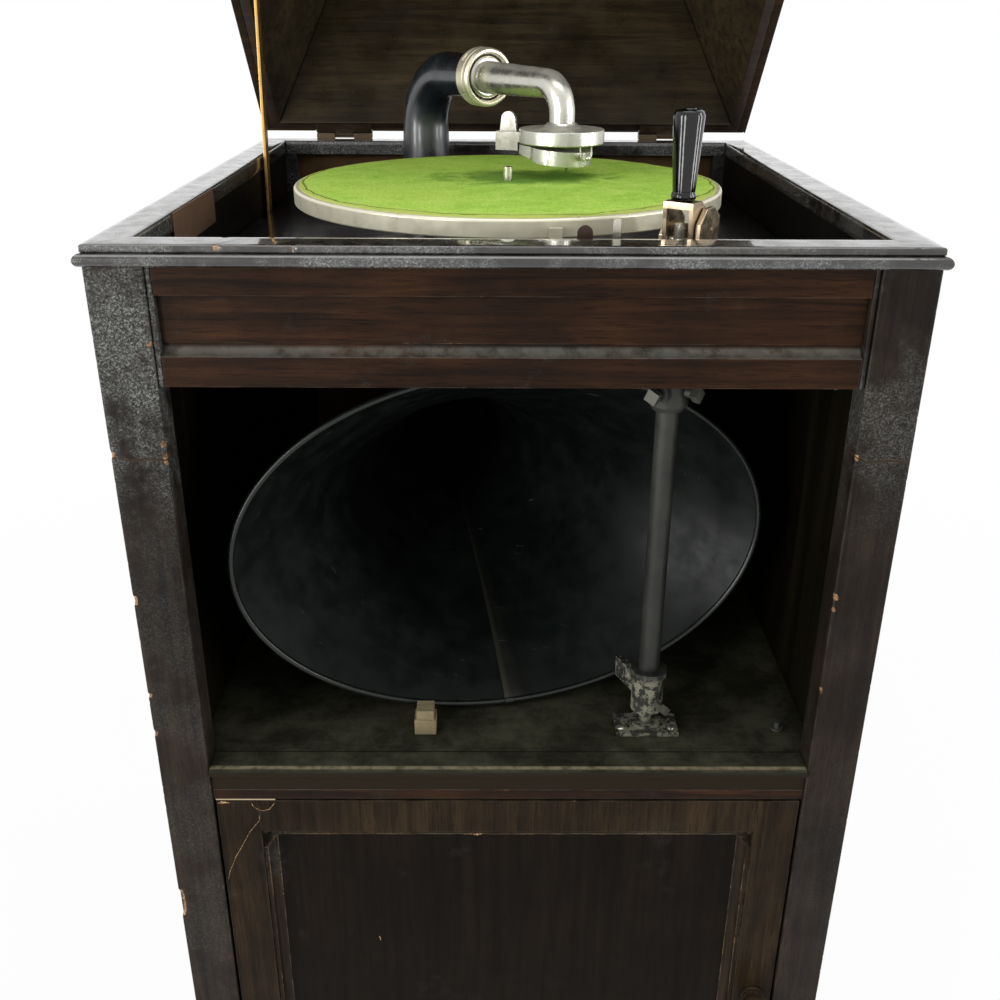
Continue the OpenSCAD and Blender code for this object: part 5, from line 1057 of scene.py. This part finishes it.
def make_arm():
    start, end = COLLAR_AT - COLLAR_W / 2 + 5, REACH - ARM_BEND
    total = end - start + ARM_BEND * pi / 2
    down = OUTLET - ARM_BEND - BOX_UP - 4
    heap = Heap()

    def ring(s):
        middle, inside = elbow(s, LEVEL + start * WAY, end - start, ARM_BEND, WAY, -UP)
        r = ARM_R + (ARM_END_R - ARM_R) * min(1.0, s / total)
        return [middle + r * cos(b) * ACROSS - r * sin(b) * inside for b in turns(64)]

    heap.rings([ring((total + down) * i / 60) for i in range(61)])
    place = aimed(LEVEL + (start - 0.9) * WAY, WAY)
    heap.lathe([(0.5, 0.1), (ARM_R + 2.8, 0.1), (ARM_R + 3.4, 0.8), (ARM_R + 3.4, 10.6), (ARM_R + 2.8, 11.4),
                (ARM_R + 1.4, 11.9), (ARM_R + 0.2, 11.95), (0.5, 11.95)], place, 72)
    heap.piece("arm_tube", "horn_carriage", "worn_nickel", clean_nickel, "reproducer_arm")


# ---------------------------------------------------------------- small parts and scars

# how far the flange's top is up, where the lid's hinge screws sit and which way they point, and the
# spindle's end
FLANGE_Z = 605.3
LEAF_Y, LEAF_Z, LEAF_WAY = 257.46, 959.9, (0, -0.7547, -0.6561)
SPINDLE_END = (-1.0, -40.5, 963.0)
# cracks and chips on the door: points (x, z), width and the face that they are on
DOOR_Y = -259.0
SCARS = (
    (((-171.0, 561.7), (-171.2, 556.3), (-178.7, 546.4), (-184.7, 534.6), (-190.8, 523.5), (-192.7, 517.9),
      (-195.4, 512.3), (-198.0, 502.9)), 0.42, DOOR_Y),
    (((-175.5, 572.0), (-174.5, 568.7), (-171.3, 565.6), (-167.9, 564.7), (-163.6, 566.1), (-159.7, 571.4)),
     0.6, DOOR_Y),
    (((-27.0, 538.4), (-23.0, 537.8), (-18.0, 538.2)), 2.2, -251.5),
    (((-94.2, 441.0), (-93.4, 436.5)), 1.2, -251.0),
    (((-198.6, 571.2), (-194.0, 572.0), (-190.5, 571.4)), 2.0, DOOR_Y),
)
SCAR_LIFT, SCAR_DEPTH = 0.06, 0.2


def ribbon(heap, points, width, y):
    """A thin ragged band along points (x, z) on a face that looks to the front at y."""
    line = [Vector((x, z)) for x, z in points]
    full = []
    for a, b in zip(line, line[1:]):
        steps = max(1, round((b - a).length / 0.8))
        full += [a.lerp(b, i / steps) for i in range(steps)]
    full.append(line[-1])
    rings = []
    for i, p in enumerate(full):
        ahead = (full[min(i + 1, len(full) - 1)] - full[max(i - 1, 0)]).normalized()
        side = Vector((-ahead.y, ahead.x))
        taper = min(1.0, (i + 1) / 4, (len(full) - i) / 4)
        wide = width * (0.55 + 0.9 * abs(ripple(p.x, p.y, 3))) * taper
        a, b = p + side * wide / 2, p - side * wide / 2
        near, far = y - SCAR_LIFT, y + SCAR_DEPTH
        rings.append([(a.x, far, a.y), (a.x, near, a.y), (b.x, near, b.y), (b.x, far, b.y)])
    heap.rings(rings)


def scar_wood():
    """Bare wood in a chip or crack, stained in parts."""
    k = Kit("scar_wood")
    colour = k.ramp(k.noise(1.6, detail=4),
                    (0.36, tone(70, 54, 38)), (0.5, tone(122, 98, 70)), (0.64, tone(196, 160, 116)))
    k.set(**{"Base Color": colour, "Roughness": 0.7, "Specular IOR Level": 0.1})
    k.bump((k.noise(0.8, detail=3), 0.1, 0.6))
    return k.material


def make_small_parts():
    screws = Heap()
    for x, turn in ((79.4, 0.5), (115.0, 1.4)):
        screws.screw((x, -219.0, FLANGE_Z), (0, 0, 1), 2.9, turn)
    screws.piece("flange_screws", "cabinet", "worn_nickel", nickel)

    heads = Heap()
    for side in (-1, 1):
        for along in (-18, 0, 18):
            heads.screw((157 * side + along, LEAF_Y, LEAF_Z), LEAF_WAY, 2.5, 0.4 + along / 11, rise=0.25)
    heads.piece("lid_hinge_screws", "lid", "dull_bronze", leaf_iron)

    cap = Heap()
    cap.lathe([(0.001, -0.3), (3.1, -0.3), (3.1, 0.1), (2.6, 0.25), (0.001, 0.25)],
              Matrix.Translation(SPINDLE_END), 32)
    cap.piece("spindle_end", "platter", "steel", brake_iron)

    cracks = Heap()
    for points, width, face in SCARS:
        ribbon(cracks, points, width, face)
    cracks.piece("door_scars", "door", "mahogany", scar_wood())


make_posts()
make_top_frame()
make_bell()
make_neck()
make_collar()
make_arm()
make_small_parts()
